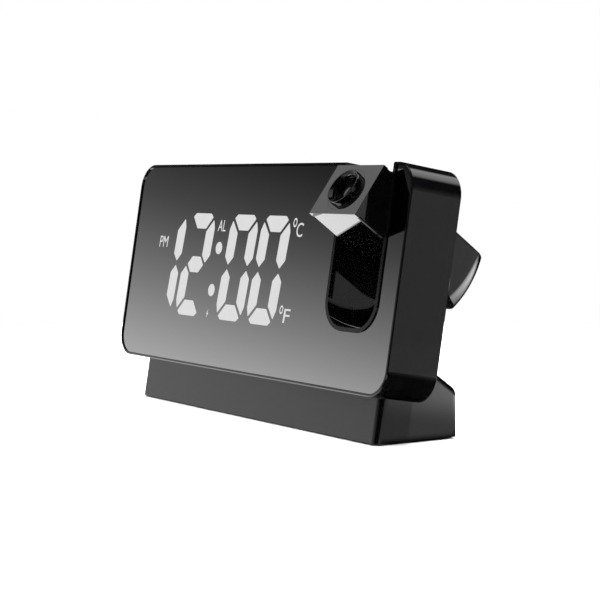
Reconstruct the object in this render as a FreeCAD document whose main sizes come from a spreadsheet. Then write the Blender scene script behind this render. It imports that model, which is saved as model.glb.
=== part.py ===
import FreeCAD, Part
import math
import os
import Sketcher

# Projection alarm clock.
# The case leans back on a two-part foot. A U-shaped slot near its right end holds a projector
# arm that swings half a turn about a cross axle: lens forward, up or back.
#
# Three frames are used, all in millimetres:
#   case frame: X to the right from the middle, Y backwards from the front rim, Z up the panel;
#   arm frame:  origin on the axle, lens end towards -Y, Z square to the arm;
#   foot frame: the case frame without its lean, its origin on the case's front bottom edge.
# Placements at the end of each piece take it to the clock's frame: Z up, origin on the table.

SIZES = {
    # Case
    "body_width": 190.0,
    "body_height": 80.0,
    "body_depth": 21.4,
    "corner_radius": 9.5,
    "edge_bevel": 0.4,
    "case_wall": 2.0,
    "front_web": 1.5,
    "front_rim": 1.0,
    "lean_angle": 9.2,
    "cover_thickness": 2.0,
    "cover_gap": 0.1,
    # Mirror panel
    "lens_recess": 0.5,
    "lens_thickness": 1.5,
    "lens_gap": 0.1,
    # Slot for the arm
    "slot_margin": 12.1,
    "slot_width": 28.2,
    "slot_corner": 9.5,
    "slot_rim": 1.4,
    "slot_wall": 2.0,
    "slot_floor_wall": 3.0,
    "pivot_drop": 20.5,
    # Projector arm
    "arm_side_gap": 0.4,
    "arm_floor_gap": 0.7,
    "arm_thickness": 20.6,
    "arm_reach": 21.2,
    "arm_wall": 1.2,
    "arm_side_wall": 2.0,
    "arm_edge_round": 0.8,
    "arm_rest_angle": 26.9,
    "tail_radius": 38.0,
    "tail_corner": 8.8,
    "face_thickness": 2.0,
    "optics_bay_depth": 33.0,
    # Axle
    "axle_radius": 4.0,
    "axle_bore": 1.6,
    "axle_fit": 0.05,
    "bearing_length": 5.0,
    "bearing_wall": 2.0,
    "washer_radius": 7.0,
    "washer_thickness": 0.2,
    "clip_thickness": 0.8,
    "clip_radius": 6.0,
    "clip_land": 1.0,
    # Focus ring and optics
    "ring_radius": 8.3,
    "ring_fit": 0.1,
    "ring_proud": 2.0,
    "ring_front_radius": 6.8,
    "ring_mouth_radius": 5.7,
    "ring_depth": 7.0,
    "ring_flange": 0.5,
    "ring_play": 0.05,
    "ring_room": 0.4,
    "lens_disc_radius": 5.0,
    "lens_disc_thickness": 2.6,
    "lens_disc_depth": 2.2,
    "carrier_skin": 0.1,
    "tunnel_radius": 6.5,
    "condenser_thickness": 4.0,
    "slide_side": 13.0,
    "slide_thickness": 1.2,
    "slide_setback": 2.0,
    "condenser_gap": 0.3,
    "block_fit": 0.05,
    "emitter_board_thickness": 1.6,
    "lamp_radius": 1.8,
    "lamp_height": 2.4,
    # Display
    "digit_half_width": 10.1,
    "digit_half_height": 20.5,
    "digit_stroke": 6.1,
    "digit_slant": 4.7,
    "digit_drop": 0.2,
    "digit_pitch": 22.5,
    "display_shift": -5.35,
    "colon_side": 15.9,
    "colon_radius": 2.4,
    "colon_spread": 16.6,
    "colon_drop": 1.2,
    "window_left_reach": 50.5,
    "window_right_reach": 63.5,
    "window_drop": 24.8,
    "window_rise": 24.7,
    "display_gap": 0.15,
    "reflector_depth": 6.0,
    "diffuser_thickness": 0.8,
    "board_thickness": 1.6,
    "chip_side": 1.6,
    "chip_height": 0.7,
    # Buttons
    "button_radius": 3.6,
    "button_clearance": 0.3,
    "button_proud": 1.2,
    "button_travel": 0.6,
    "button_flange_radius": 4.9,
    "button_flange_thickness": 1.0,
    "button_bevel": 0.5,
    "press_gap": 0.3,
    "button_pitch": 14.0,
    "button_inset": 10.0,
    "button_row_drop": 14.0,
    "switch_side": 6.0,
    "switch_height": 3.0,
    "snooze_length": 62.0,
    "snooze_width": 8.0,
    "snooze_shift": -9.85,
    "snooze_back_room": 7.9,
    "snooze_lip": 1.0,
    "snooze_round": 0.4,
    # Main board and speaker
    "main_board_side_room": 11.0,
    "main_board_speaker_room": 5.0,
    "main_board_height": 33.0,
    "main_board_drop": 7.0,
    "speaker_radius": 14.0,
    "speaker_depth": 5.0,
    "speaker_slot_room": 21.7,
    "speaker_height": 34.0,
    "grille_slot": 1.4,
    "grille_pitch": 3.2,
    "screw_shank": 1.2,
    "screw_head": 2.4,
    "screw_head_height": 1.2,
    "screw_clearance": 0.1,
    "base_screw_length": 6.0,
    "boss_radius": 3.2,
    "boss_margin": 0.7,
    # Foot
    "foot_width": 166.4,
    "foot_setback": 7.9,
    "foot_drop": 17.0,
    "foot_reach": 41.2,
    "foot_shoulder": 15.4,
    "foot_shoulder_slope": 35.0,
    "foot_corner": 2.5,
    "foot_back_round": 4.0,
    "foot_wall": 2.0,
    "base_plate_thickness": 2.0,
    "column_room": 1.0,
    "column_skin": 0.6,
    "board_lift": 0.3,
    "pad_radius": 5.0,
    "pad_bevel": 0.4,
    "pad_height": 0.6,
    "pad_sink": 0.8,
    "pad_inset": 11.0,
    # Sockets and backup cell
    "power_socket_width": 9.2,
    "power_socket_height": 3.4,
    "power_socket_depth": 8.0,
    "power_socket_place": -40.0,
    "usb_socket_width": 14.4,
    "usb_socket_height": 7.0,
    "usb_socket_depth": 14.0,
    "usb_socket_place": -16.0,
    "socket_skin": 0.5,
    "socket_gap": 0.15,
    "converter_length": 8.0,
    "converter_height": 3.0,
    "cell_radius": 10.0,
    "cell_thickness": 3.2,
    "cell_place": 32.0,
    "cell_bevel": 0.6,
    "cell_gap": 0.1,
    "cell_fit": 0.2,
    "cup_wall": 1.2,
    "cup_roof": 1.0,
    "cup_flange": 0.8,
    "cup_flange_width": 3.0,
    "door_radius": 11.6,
    "door_gap": 0.3,
    "coin_slot_length": 10.0,
    "coin_slot_width": 1.4,
    "coin_slot_depth": 0.9,
}

doc = FreeCAD.newDocument("ProjectionClock")
sheet = doc.addObject("Spreadsheet::Sheet", "Sizes")
for row, (alias, number) in enumerate(SIZES.items(), start=1):
    sheet.set("A%d" % row, alias)
    sheet.set("B%d" % row, str(number))
    sheet.setAlias("B%d" % row, alias)
doc.recompute()

pieces = []


def size(alias):
    """The number that the sheet holds under an alias."""
    return float(getattr(sheet, alias))


def value_of(expression):
    """The number that an expression gives."""
    return float(sheet.evalExpression(expression))


# Expressions that several pieces share
HALF_DEPTH = "Sizes.body_depth / 2"
SLOT_RIGHT = "(Sizes.body_width / 2 - Sizes.slot_margin)"
SLOT_LEFT = "(%s - Sizes.slot_width)" % SLOT_RIGHT
SLOT_CENTRE = "(%s - Sizes.slot_width / 2)" % SLOT_RIGHT
PIVOT_HEIGHT = "(Sizes.body_height - Sizes.pivot_drop)"
FLOOR_RADIUS = "(Sizes.tail_radius + Sizes.arm_floor_gap)"
SLOT_FLOOR = "(%s - sqrt(%s ^ 2 - (%s) ^ 2))" % (PIVOT_HEIGHT, FLOOR_RADIUS, HALF_DEPTH)
LENS_BACK = "(Sizes.lens_recess + Sizes.lens_thickness)"
WEB_BACK = "(%s + Sizes.front_web)" % LENS_BACK
COVER_FRONT = "(Sizes.body_depth - Sizes.cover_thickness)"
ARM_WIDTH = "(Sizes.slot_width - 2 * Sizes.arm_side_gap)"
ROOM_MIDDLE = "((%s - Sizes.body_width / 2) / 2)" % SLOT_LEFT
DISPLAY_MIDDLE = "(%s + Sizes.display_shift)" % ROOM_MIDDLE
DIGIT_MIDDLE = "(Sizes.body_height / 2 - Sizes.digit_drop)"
WINDOW = (
    "(%s - Sizes.window_left_reach)" % DISPLAY_MIDDLE, "(%s + Sizes.window_right_reach)" % DISPLAY_MIDDLE,
    "(%s - Sizes.window_drop)" % DIGIT_MIDDLE, "(%s + Sizes.window_rise)" % DIGIT_MIDDLE,
)
SNOOZE_MIDDLE = "(%s + Sizes.snooze_shift)" % ROOM_MIDDLE
SNOOZE_BACK = "(Sizes.body_depth - Sizes.snooze_back_room)"
SPEAKER_MIDDLE = "(%s - Sizes.speaker_slot_room)" % SLOT_LEFT
MAIN_BOARD_LEFT = "(-Sizes.body_width / 2 + Sizes.main_board_side_room)"
MAIN_BOARD_RIGHT = "(%s - Sizes.speaker_radius - Sizes.main_board_speaker_room)" % SPEAKER_MIDDLE
MAIN_BOARD_TOP = "(Sizes.body_height - Sizes.main_board_drop)"


# Drawing helpers
def outline(body, role, name, corners, away="0"):
    """A closed straight-sided sketch on one of the body's planes; each corner is two expressions."""
    sketch = body.newObject("Sketcher::SketchObject", name)
    plane = [feature for feature in body.Origin.OriginFeatures if feature.Role == role][0]
    sketch.AttachmentSupport = (plane, [""])
    sketch.MapMode = "FlatFace"
    sketch.setExpression("AttachmentOffset.Base.z", away)
    count = len(corners)
    start = [FreeCAD.Vector(value_of(across), value_of(along), 0) for across, along in corners]
    for k in range(count):
        sketch.addGeometry(Part.LineSegment(start[k], start[(k + 1) % count]), False)
    for k in range(count):
        sketch.addConstraint(Sketcher.Constraint("Coincident", k, 2, (k + 1) % count, 1))
    for k, (across, along) in enumerate(corners):
        held = sketch.addConstraint(Sketcher.Constraint("DistanceX", -1, 1, k, 1, start[k].x))
        sketch.setExpression("Constraints[%d]" % held, across)
        held = sketch.addConstraint(Sketcher.Constraint("DistanceY", -1, 1, k, 1, start[k].y))
        sketch.setExpression("Constraints[%d]" % held, along)
    doc.recompute()
    return sketch


def rectangle(left, right, low, high):
    """The corners of a rectangle."""
    return [(left, low), (right, low), (right, high), (left, high)]


def pad(body, sketch, length, backwards=False):
    """Raises a sketch by a length."""
    feature = body.newObject("PartDesign::Pad", sketch.Name + "Pad")
    feature.Profile = sketch
    feature.setExpression("Length", length)
    feature.Reversed = backwards
    doc.recompute()
    return feature


def pocket(body, sketch, length, backwards=False):
    """Cuts a sketch to a depth and makes sure that it removed something."""
    before = body.Shape.Volume
    feature = body.newObject("PartDesign::Pocket", sketch.Name + "Pocket")
    feature.Profile = sketch
    feature.setExpression("Length", length)
    feature.Reversed = backwards
    doc.recompute()
    if body.Shape.Volume > before - 1e-6:
        raise RuntimeError("%s cuts nothing" % feature.Name)
    return feature


def soften(body, kind, name, amount, chosen):
    """Rounds or bevels the edges of the body's tip for which chosen(edge) holds."""
    tip = body.Tip
    names = ["Edge%d" % (k + 1) for k, edge in enumerate(tip.Shape.Edges) if chosen(edge)]
    if not names:
        raise RuntimeError("%s finds no edge" % name)
    feature = body.newObject("PartDesign::" + kind, name)
    feature.Base = (tip, names)
    feature.setExpression("Radius" if kind == "Fillet" else "Size", amount)
    doc.recompute()
    return feature


def round_edges(body, name, radius, chosen):
    """Rounds the edges of the body's tip for which chosen(edge) holds."""
    return soften(body, "Fillet", name, radius, chosen)


def bevel_edges(body, name, amount, chosen):
    """Bevels the edges of the body's tip for which chosen(edge) holds."""
    return soften(body, "Chamfer", name, amount, chosen)


def turned(name, profile):
    """A body turned about the Y axis from (radius, distance along Y) corners."""
    body = doc.addObject("PartDesign::Body", name)
    sketch = outline(body, "XY_Plane", name + "Profile", profile)
    feature = body.newObject("PartDesign::Revolution", name + "Turn")
    feature.Profile = sketch
    feature.ReferenceAxis = (sketch, ["V_Axis"])
    feature.Angle = 360
    doc.recompute()
    return body


def plate(name, corners, front, thickness):
    """A flat plate parallel to the panel, from its front plane backwards."""
    body = doc.addObject("PartDesign::Body", name)
    face = outline(body, "XZ_Plane", name + "Face", corners, "-(%s)" % front)
    pad(body, face, thickness, backwards=True)
    return body


def notched_plate(name, inset, margin, floor_margin, front, thickness):
    """A plate in the case's outline drawn in by inset, notched round the slot by the margins."""
    left = "-Sizes.body_width / 2 + %s" % inset
    right = "Sizes.body_width / 2 - %s" % inset
    top = "Sizes.body_height - %s" % inset
    notch_left = "%s - %s" % (SLOT_LEFT, margin)
    notch_right = "%s + %s" % (SLOT_RIGHT, margin)
    floor = "%s - %s" % (SLOT_FLOOR, floor_margin)
    corners = [
        (left, inset), (right, inset), (right, top), (notch_right, top),
        (notch_right, floor), (notch_left, floor), (notch_left, top), (left, top),
    ]
    body = plate(name, corners, front, thickness)
    bounds = body.Shape.BoundBox
    floor_height = value_of(floor)
    round_edges(
        body, name + "Corners", "Sizes.corner_radius - %s" % inset,
        lambda edge: runs_along(edge, "y") and (
            near(edge.BoundBox.XMax, bounds.XMax) or near(edge.BoundBox.XMax, bounds.XMin)
        ),
    )
    round_edges(
        body, name + "Notch", "Sizes.slot_corner + %s" % margin,
        lambda edge: runs_along(edge, "y") and near(edge.BoundBox.ZMax, floor_height)
        and bounds.XMin < edge.BoundBox.XMax < bounds.XMax,
    )
    return body


def box(name, low, high):
    """A box between two corners, each given by three expressions."""
    solid = doc.addObject("Part::Box", name)
    for axis, side, start, end in zip("xyz", ("Length", "Width", "Height"), low, high):
        solid.setExpression("Placement.Base." + axis, start)
        solid.setExpression(side, "(%s) - (%s)" % (end, start))
    return solid


TURN_TO = {
    "x": FreeCAD.Rotation(FreeCAD.Vector(0, 1, 0), 90),
    "y": FreeCAD.Rotation(FreeCAD.Vector(1, 0, 0), -90),
    "z": FreeCAD.Rotation(),
}


def rod(name, axis, radius, start, length):
    """A cylinder from a start point along one of the axes."""
    solid = doc.addObject("Part::Cylinder", name)
    solid.Placement = FreeCAD.Placement(FreeCAD.Vector(), TURN_TO[axis])
    for letter, place in zip("xyz", start):
        solid.setExpression("Placement.Base." + letter, place)
    solid.setExpression("Radius", radius)
    solid.setExpression("Height", length)
    return solid


def fuse(name, *solids):
    """The union of solids."""
    joined = doc.addObject("Part::MultiFuse", name)
    joined.Shapes = list(solids)
    return joined


def common(name, *solids):
    """What solids share."""
    shared = doc.addObject("Part::MultiCommon", name)
    shared.Shapes = list(solids)
    return shared


def cut(name, base, *tools):
    """A solid less the tools."""
    piece = doc.addObject("Part::Cut", name)
    piece.Base = base
    piece.Tool = tools[0] if len(tools) == 1 else fuse(name + "Tools", *tools)
    return piece


def rounded(name, base, radius, chosen):
    """A copy of a solid with the edges for which chosen(edge) holds rounded."""
    doc.recompute()
    piece = doc.addObject("Part::Fillet", name)
    piece.Base = base
    edges = enumerate(base.Shape.Edges, start=1)
    piece.Edges = [(k, radius, radius) for k, edge in edges if chosen(edge)]
    if not piece.Edges:
        raise RuntimeError("%s finds no edge" % name)
    return piece


# Tests that pick edges
def near(a, b):
    """Whether two lengths are the same."""
    return abs(a - b) < 1e-4


def runs_along(edge, axis):
    """Whether an edge is straight and parallel to an axis."""
    if not isinstance(edge.Curve, Part.Line):
        return False
    direction = edge.Curve.Direction
    return near(abs(getattr(direction, axis)), 1)


def lies_at(edge, axis, place):
    """Whether an edge lies in the plane where an axis has one value."""
    bounds = edge.BoundBox
    return near(getattr(bounds, axis + "Min"), place) and near(getattr(bounds, axis + "Max"), place)


def is_circle(edge):
    """Whether an edge is a full circle."""
    return isinstance(edge.Curve, Part.Circle) and edge.isClosed()


# Where the frames stand in the clock's frame
lean = math.radians(size("lean_angle"))
reach_angle = lean + math.radians(size("arm_rest_angle"))
half_arm = size("arm_thickness") / 2
pivot_height = value_of(PIVOT_HEIGHT)
axle_back = size("body_depth") / 2 * math.cos(lean) + pivot_height * math.sin(lean)
axle_up = pivot_height * math.cos(lean) - size("body_depth") / 2 * math.sin(lean)
tail_length = math.sqrt(size("tail_radius") ** 2 - half_arm ** 2)
front_reach = size("arm_reach") * math.cos(reach_angle) + half_arm * math.sin(reach_angle)
back_reach = tail_length * math.cos(reach_angle) + half_arm * math.sin(reach_angle)
case_back = -axle_back + (front_reach - back_reach) / 2
case_up = size("foot_drop") + size("pad_height")

X_AXIS = FreeCAD.Vector(1, 0, 0)
CASE = FreeCAD.Placement(
    FreeCAD.Vector(0, case_back, case_up),
    FreeCAD.Rotation(X_AXIS, -size("lean_angle")),
)
ARM = FreeCAD.Placement(
    FreeCAD.Vector(value_of(SLOT_CENTRE), case_back + axle_back, case_up + axle_up),
    FreeCAD.Rotation(X_AXIS, -size("lean_angle") - size("arm_rest_angle")),
)
FOOT = FreeCAD.Placement(FreeCAD.Vector(0, case_back, case_up), FreeCAD.Rotation())


def keep(piece, label, frame, shift=FreeCAD.Vector(), turn=FreeCAD.Rotation()):
    """Names a finished piece and puts it in its place in a frame."""
    piece.Label = label
    piece.Placement = frame.multiply(FreeCAD.Placement(shift, turn))
    pieces.append(piece)


# The case
def arm_slot_tool():
    """The space cut for the arm: a round-cornered drum about the axle, open to the top above it."""
    drum = rod(
        "SlotDrum", "x", FLOOR_RADIUS, (SLOT_LEFT, HALF_DEPTH, PIVOT_HEIGHT), "Sizes.slot_width",
    )
    drum = rounded("SlotDrumRounded", drum, size("slot_corner"), is_circle)
    mouth = box(
        "SlotMouth",
        (SLOT_LEFT, "-Sizes.body_depth", PIVOT_HEIGHT),
        (SLOT_RIGHT, "2 * Sizes.body_depth", "Sizes.body_height + Sizes.case_wall"),
    )
    return fuse("SlotTool", drum, mouth)


def boss_places():
    """The middles of the four screw bosses, as expressions across and up the case."""
    side = "(Sizes.body_width / 2 - Sizes.case_wall - Sizes.boss_radius - Sizes.boss_margin)"
    low = "Sizes.case_wall + Sizes.boss_radius + 2 * Sizes.boss_margin"
    top = "Sizes.body_height - Sizes.case_wall - Sizes.boss_radius - 2 * Sizes.boss_margin"
    inner = "%s - Sizes.slot_wall - Sizes.boss_radius - Sizes.boss_margin" % SLOT_LEFT
    return [("-" + side, low), (side, low), ("-" + side, top), (inner, top)]


def make_front_housing():
    """The one-piece case: front rim, sides, slot walls, bearings and screw bosses, open at the back."""
    shell = doc.addObject("PartDesign::Body", "HousingShell")
    face = outline(
        shell, "XZ_Plane", "HousingFace",
        rectangle("-Sizes.body_width / 2", "Sizes.body_width / 2", "0", "Sizes.body_height"),
    )
    pad(shell, face, "Sizes.body_depth", backwards=True)
    round_edges(shell, "HousingCorners", "Sizes.corner_radius", lambda edge: runs_along(edge, "y"))
    bevel_edges(shell, "HousingFrontBevel", "Sizes.edge_bevel", lambda edge: lies_at(edge, "Y", 0))
    bevel_edges(
        shell, "HousingBackBevel", "Sizes.edge_bevel", lambda edge: lies_at(edge, "Y", size("body_depth")),
    )
    seat = notched_plate(
        "LensSeat", "Sizes.front_rim", "Sizes.slot_rim", "Sizes.slot_rim", "-1", "1 + %s" % LENS_BACK,
    )
    inside = notched_plate(
        "HousingInside", "Sizes.case_wall", "Sizes.slot_wall", "Sizes.slot_floor_wall", WEB_BACK,
        "Sizes.body_depth",
    )
    window = box(
        "DisplayWindow",
        (WINDOW[0], "0", WINDOW[2]),
        (WINDOW[1], HALF_DEPTH, WINDOW[3]),
    )
    snooze_hole = box(
        "SnoozeHole",
        (
            "%s - Sizes.snooze_length / 2 - Sizes.button_clearance" % SNOOZE_MIDDLE,
            "%s - Sizes.snooze_width / 2 - Sizes.button_clearance" % SNOOZE_BACK,
            "Sizes.body_height - 2 * Sizes.case_wall",
        ),
        (
            "%s + Sizes.snooze_length / 2 + Sizes.button_clearance" % SNOOZE_MIDDLE,
            "%s + Sizes.snooze_width / 2 + Sizes.button_clearance" % SNOOZE_BACK,
            "Sizes.body_height + Sizes.case_wall",
        ),
    )
    bearing_radius = "Sizes.axle_radius + Sizes.bearing_wall"
    bore_radius = "Sizes.axle_radius + Sizes.axle_fit"
    bearing_span = "2 * Sizes.bearing_length + Sizes.slot_width"
    bearing_start = ("%s - Sizes.bearing_length" % SLOT_LEFT, HALF_DEPTH, PIVOT_HEIGHT)
    bearings = rod("Bearings", "x", bearing_radius, bearing_start, bearing_span)
    bore = rod("BearingBore", "x", bore_radius, bearing_start, bearing_span)
    bosses = [
        rod(
            "Boss%d" % k, "y", "Sizes.boss_radius", (across, WEB_BACK, up),
            "%s - %s" % (COVER_FRONT, WEB_BACK),
        )
        for k, (across, up) in enumerate(boss_places(), start=1)
    ]
    pilots = [
        rod(
            "BossPilot%d" % k, "y", "Sizes.screw_shank", (across, "%s + Sizes.boss_radius" % WEB_BACK, up),
            "%s - %s" % (COVER_FRONT, WEB_BACK),
        )
        for k, (across, up) in enumerate(boss_places(), start=1)
    ]
    hollow = cut("HousingHollow", shell, seat, inside)
    solid = fuse("HousingSolid", hollow, bearings, *bosses)
    housing = cut("Housing", solid, arm_slot_tool(), window, snooze_hole, bore, *pilots)
    keep(housing, "front_housing", CASE)


def make_mirror_panel():
    """The smoked mirror that covers the front, notched round the slot."""
    margin = "(Sizes.slot_rim + Sizes.lens_gap)"
    panel = notched_plate(
        "MirrorPanel", "(Sizes.front_rim + Sizes.lens_gap)", margin, margin, "Sizes.lens_recess",
        "Sizes.lens_thickness",
    )
    keep(panel, "mirror_panel", CASE)


# The display behind the mirror panel
def segment_outlines():
    """The seven segments of a digit about its middle, as (across, up) corners."""
    width = size("digit_half_width")
    height = size("digit_half_height")
    stroke = size("digit_stroke")
    inner = width - stroke
    cap = [
        (0.7 * stroke - width, height), (width - 0.7 * stroke, height),
        (width - 0.4 * stroke, height - 0.24 * stroke), (inner - 0.11 * stroke, height - stroke),
        (0.11 * stroke - inner, height - stroke), (0.4 * stroke - width, height - 0.24 * stroke),
    ]
    side = [
        (width - 0.24 * stroke, height - 0.41 * stroke), (width, height - 0.95 * stroke),
        (width, 0.65 * stroke), (width - 0.5 * stroke, 0.14 * stroke),
        (inner, 0.63 * stroke), (inner, height - 1.18 * stroke),
    ]
    bar = [
        (0.15 * stroke - inner, 0.52 * stroke), (inner - 0.15 * stroke, 0.52 * stroke),
        (width - 0.66 * stroke, 0), (inner - 0.15 * stroke, -0.52 * stroke),
        (0.15 * stroke - inner, -0.52 * stroke), (0.66 * stroke - width, 0),
    ]
    return {
        "a": cap,
        "b": side,
        "c": [(across, -up) for across, up in side],
        "d": [(across, -up) for across, up in cap],
        "e": [(-across, -up) for across, up in side],
        "f": [(-across, up) for across, up in side],
        "g": bar,
    }


SHOWN = ["bc", "abged", "abcdef", "abcdef"]


def digit_middles():
    """Where the four digits stand across the case."""
    middle = value_of(DISPLAY_MIDDLE)
    inner = size("colon_side")
    outer = inner + size("digit_pitch")
    return [middle - outer, middle - inner, middle + inner, middle + outer]


def slanted_prism(corners, middle, front, depth):
    """A leaning digit stroke, raised backwards from a front plane."""
    lean_over = math.tan(math.radians(size("digit_slant")))
    height = value_of(DIGIT_MIDDLE)
    points = [
        FreeCAD.Vector(middle + across + up * lean_over, front, height + up)
        for across, up in corners
    ]
    face = Part.Face(Part.makePolygon(points + points[:1]))
    return face.extrude(FreeCAD.Vector(0, depth, 0))


def display_strokes(front, depth, lit):
    """The strokes that are lit, dark or both (lit None), with the colon among the lit ones."""
    strokes = []
    for middle, shown in zip(digit_middles(), SHOWN):
        for letter, corners in segment_outlines().items():
            if lit is None or (letter in shown) == lit:
                strokes.append(slanted_prism(corners, middle, front, depth))
    if lit is None or lit:
        lean_over = math.tan(math.radians(size("digit_slant")))
        for side in (-1, 1):
            up = side * size("colon_spread") / 2 - size("colon_drop")
            middle = FreeCAD.Vector(
                value_of(DISPLAY_MIDDLE) + up * lean_over, front, value_of(DIGIT_MIDDLE) + up,
            )
            strokes.append(Part.makeCylinder(size("colon_radius"), depth, middle, FreeCAD.Vector(0, 1, 0)))
    return strokes


def make_display():
    """The reflector block with its wells, the diffusers in them, the board and its light chips."""
    front = size("lens_recess") + size("lens_thickness") + size("display_gap")
    gap = size("display_gap")
    left, right, bottom, top = (value_of(edge) for edge in WINDOW)
    block = Part.makeBox(
        right - left - 2 * gap, size("reflector_depth"), top - bottom - 2 * gap,
        FreeCAD.Vector(left + gap, front, bottom + gap),
    )
    wells = display_strokes(front - 1, size("reflector_depth") + 2, None)
    reflector = doc.addObject("Part::Feature", "Reflector")
    reflector.Shape = block.cut(Part.makeCompound(wells))
    keep(reflector, "display_reflector", CASE)

    for label, lit in (("segments_lit", True), ("segments_dark", False)):
        diffuser = doc.addObject("Part::Feature", label + "_shape")
        diffuser.Shape = Part.makeCompound(display_strokes(front, size("diffuser_thickness"), lit))
        keep(diffuser, label, CASE)

    board_front = "%s + Sizes.display_gap + Sizes.reflector_depth" % LENS_BACK
    board = plate("DisplayBoard", rectangle(*WINDOW), board_front, "Sizes.board_thickness")
    keep(board, "display_board", CASE)

    back = front + size("reflector_depth")
    half_chip = size("chip_side") / 2
    chips = []
    for middle in digit_middles():
        for corners in segment_outlines().values():
            across = sum(corner[0] for corner in corners) / len(corners)
            up = sum(corner[1] for corner in corners) / len(corners)
            lean_over = math.tan(math.radians(size("digit_slant")))
            corner = FreeCAD.Vector(
                middle + across + up * lean_over - half_chip,
                back - size("chip_height"),
                value_of(DIGIT_MIDDLE) + up - half_chip,
            )
            chips.append(Part.makeBox(size("chip_side"), size("chip_height"), size("chip_side"), corner))
    lamps = doc.addObject("Part::Feature", "LightChips")
    lamps.Shape = Part.makeCompound(chips)
    keep(lamps, "display_light_chips", CASE)


# The back cover, the boards and what sits on them
BUTTONS = [
    "button_mode", "button_up", "button_down", "button_first_alarm", "button_second_alarm", "button_flip",
]
GRILLE_SLOTS = 7
BUTTON_ROW_LEFT = "(%s + Sizes.button_inset)" % MAIN_BOARD_LEFT
BUTTON_ROW_HEIGHT = "(Sizes.body_height - Sizes.button_row_drop)"
MAIN_BOARD_FRONT = (
    "(%s - Sizes.button_flange_thickness - Sizes.button_travel - Sizes.press_gap"
    " - Sizes.switch_height - Sizes.board_thickness)" % COVER_FRONT
)


def button_places():
    """The middles of the six buttons, as expressions across and up the case."""
    return [
        ("%s + %d * Sizes.button_pitch" % (BUTTON_ROW_LEFT, k), BUTTON_ROW_HEIGHT)
        for k in range(len(BUTTONS))
    ]


def make_back_cover():
    """The flat cover let into the back of the case, with button holes, grille and screw holes."""
    cover = notched_plate(
        "BackCover", "(Sizes.case_wall + Sizes.cover_gap)", "(Sizes.slot_wall + Sizes.cover_gap)",
        "(Sizes.slot_floor_wall + Sizes.cover_gap)", COVER_FRONT, "Sizes.cover_thickness",
    )
    tools = []
    through = "2 * Sizes.cover_thickness"
    start = COVER_FRONT + " - Sizes.cover_thickness / 2"
    for k, (across, up) in enumerate(button_places(), start=1):
        radius = "Sizes.button_radius + Sizes.button_clearance"
        tools.append(rod("ButtonHole%d" % k, "y", radius, (across, start, up), through))
    hole_radius = "Sizes.screw_shank + Sizes.screw_clearance"
    sink_radius = "Sizes.screw_head + Sizes.screw_clearance"
    sunk = "Sizes.body_depth - Sizes.screw_head_height"
    for k, (across, up) in enumerate(boss_places(), start=1):
        tools.append(rod("CoverHole%d" % k, "y", hole_radius, (across, start, up), through))
        tools.append(rod("CoverSink%d" % k, "y", sink_radius, (across, sunk, up), through))
    for k in range(GRILLE_SLOTS):
        offset = k - (GRILLE_SLOTS - 1) / 2
        half = "sqrt((0.8 * Sizes.speaker_radius) ^ 2 - (%s * Sizes.grille_pitch) ^ 2)" % offset
        middle = "Sizes.speaker_height + %s * Sizes.grille_pitch" % offset
        tools.append(box(
            "GrilleSlot%d" % (k + 1),
            ("%s - %s" % (SPEAKER_MIDDLE, half), start, middle + " - Sizes.grille_slot / 2"),
            (
                "%s + %s" % (SPEAKER_MIDDLE, half), start + " + " + through,
                middle + " + Sizes.grille_slot / 2",
            ),
        ))
    keep(cut("BackCoverPiece", cover, *tools), "back_cover", CASE)


def make_cover_screws():
    """The four screws that hold the back cover, heads let into its outer face."""
    screws = []
    for k, (across, up) in enumerate(boss_places(), start=1):
        shank = rod(
            "CoverShank%d" % k, "y", "Sizes.screw_shank",
            (across, "%s - Sizes.boss_radius" % COVER_FRONT, up),
            "Sizes.boss_radius + Sizes.cover_thickness / 2",
        )
        head = rod(
            "CoverHead%d" % k, "y", "Sizes.screw_head",
            (across, "Sizes.body_depth - Sizes.screw_head_height", up), "Sizes.screw_head_height",
        )
        screws += [shank, head]
    keep(fuse("CoverScrews", *screws), "cover_screws", CASE)


def make_main_board():
    """The board behind the buttons and its six switches."""
    board = plate(
        "MainBoard",
        rectangle(
            MAIN_BOARD_LEFT, MAIN_BOARD_RIGHT, "%s - Sizes.main_board_height" % MAIN_BOARD_TOP,
            MAIN_BOARD_TOP,
        ),
        MAIN_BOARD_FRONT, "Sizes.board_thickness",
    )
    keep(board, "main_board", CASE)
    seat = "%s + Sizes.board_thickness" % MAIN_BOARD_FRONT
    parts = []
    for k, (across, up) in enumerate(button_places(), start=1):
        half = "Sizes.switch_side / 2"
        parts.append(box(
            "SwitchCase%d" % k,
            ("%s - %s" % (across, half), seat, "%s - %s" % (up, half)),
            ("%s + %s" % (across, half), seat + " + 0.7 * Sizes.switch_height", "%s + %s" % (up, half)),
        ))
        parts.append(rod(
            "SwitchTip%d" % k, "y", "Sizes.switch_side / 4",
            (across, seat + " + Sizes.switch_height / 2", up), "Sizes.switch_height / 2",
        ))
    keep(fuse("Switches", *parts), "button_switches", CASE)


def make_buttons():
    """Six round push buttons, each held behind the cover by its flange."""
    shoulder = "-Sizes.button_flange_thickness"
    top = "Sizes.cover_thickness + Sizes.button_proud"
    for label, (across, up) in zip(BUTTONS, button_places()):
        name = "".join(word.capitalize() for word in label.split("_"))
        button = turned(name, [
            ("0", shoulder), ("Sizes.button_flange_radius", shoulder), ("Sizes.button_flange_radius", "0"),
            ("Sizes.button_radius", "0"), ("Sizes.button_radius", top + " - Sizes.button_bevel"),
            ("Sizes.button_radius - Sizes.button_bevel", top), ("0", top),
        ])
        place = FreeCAD.Vector(value_of(across), value_of(COVER_FRONT), value_of(up))
        keep(button, label, CASE, place)


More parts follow.
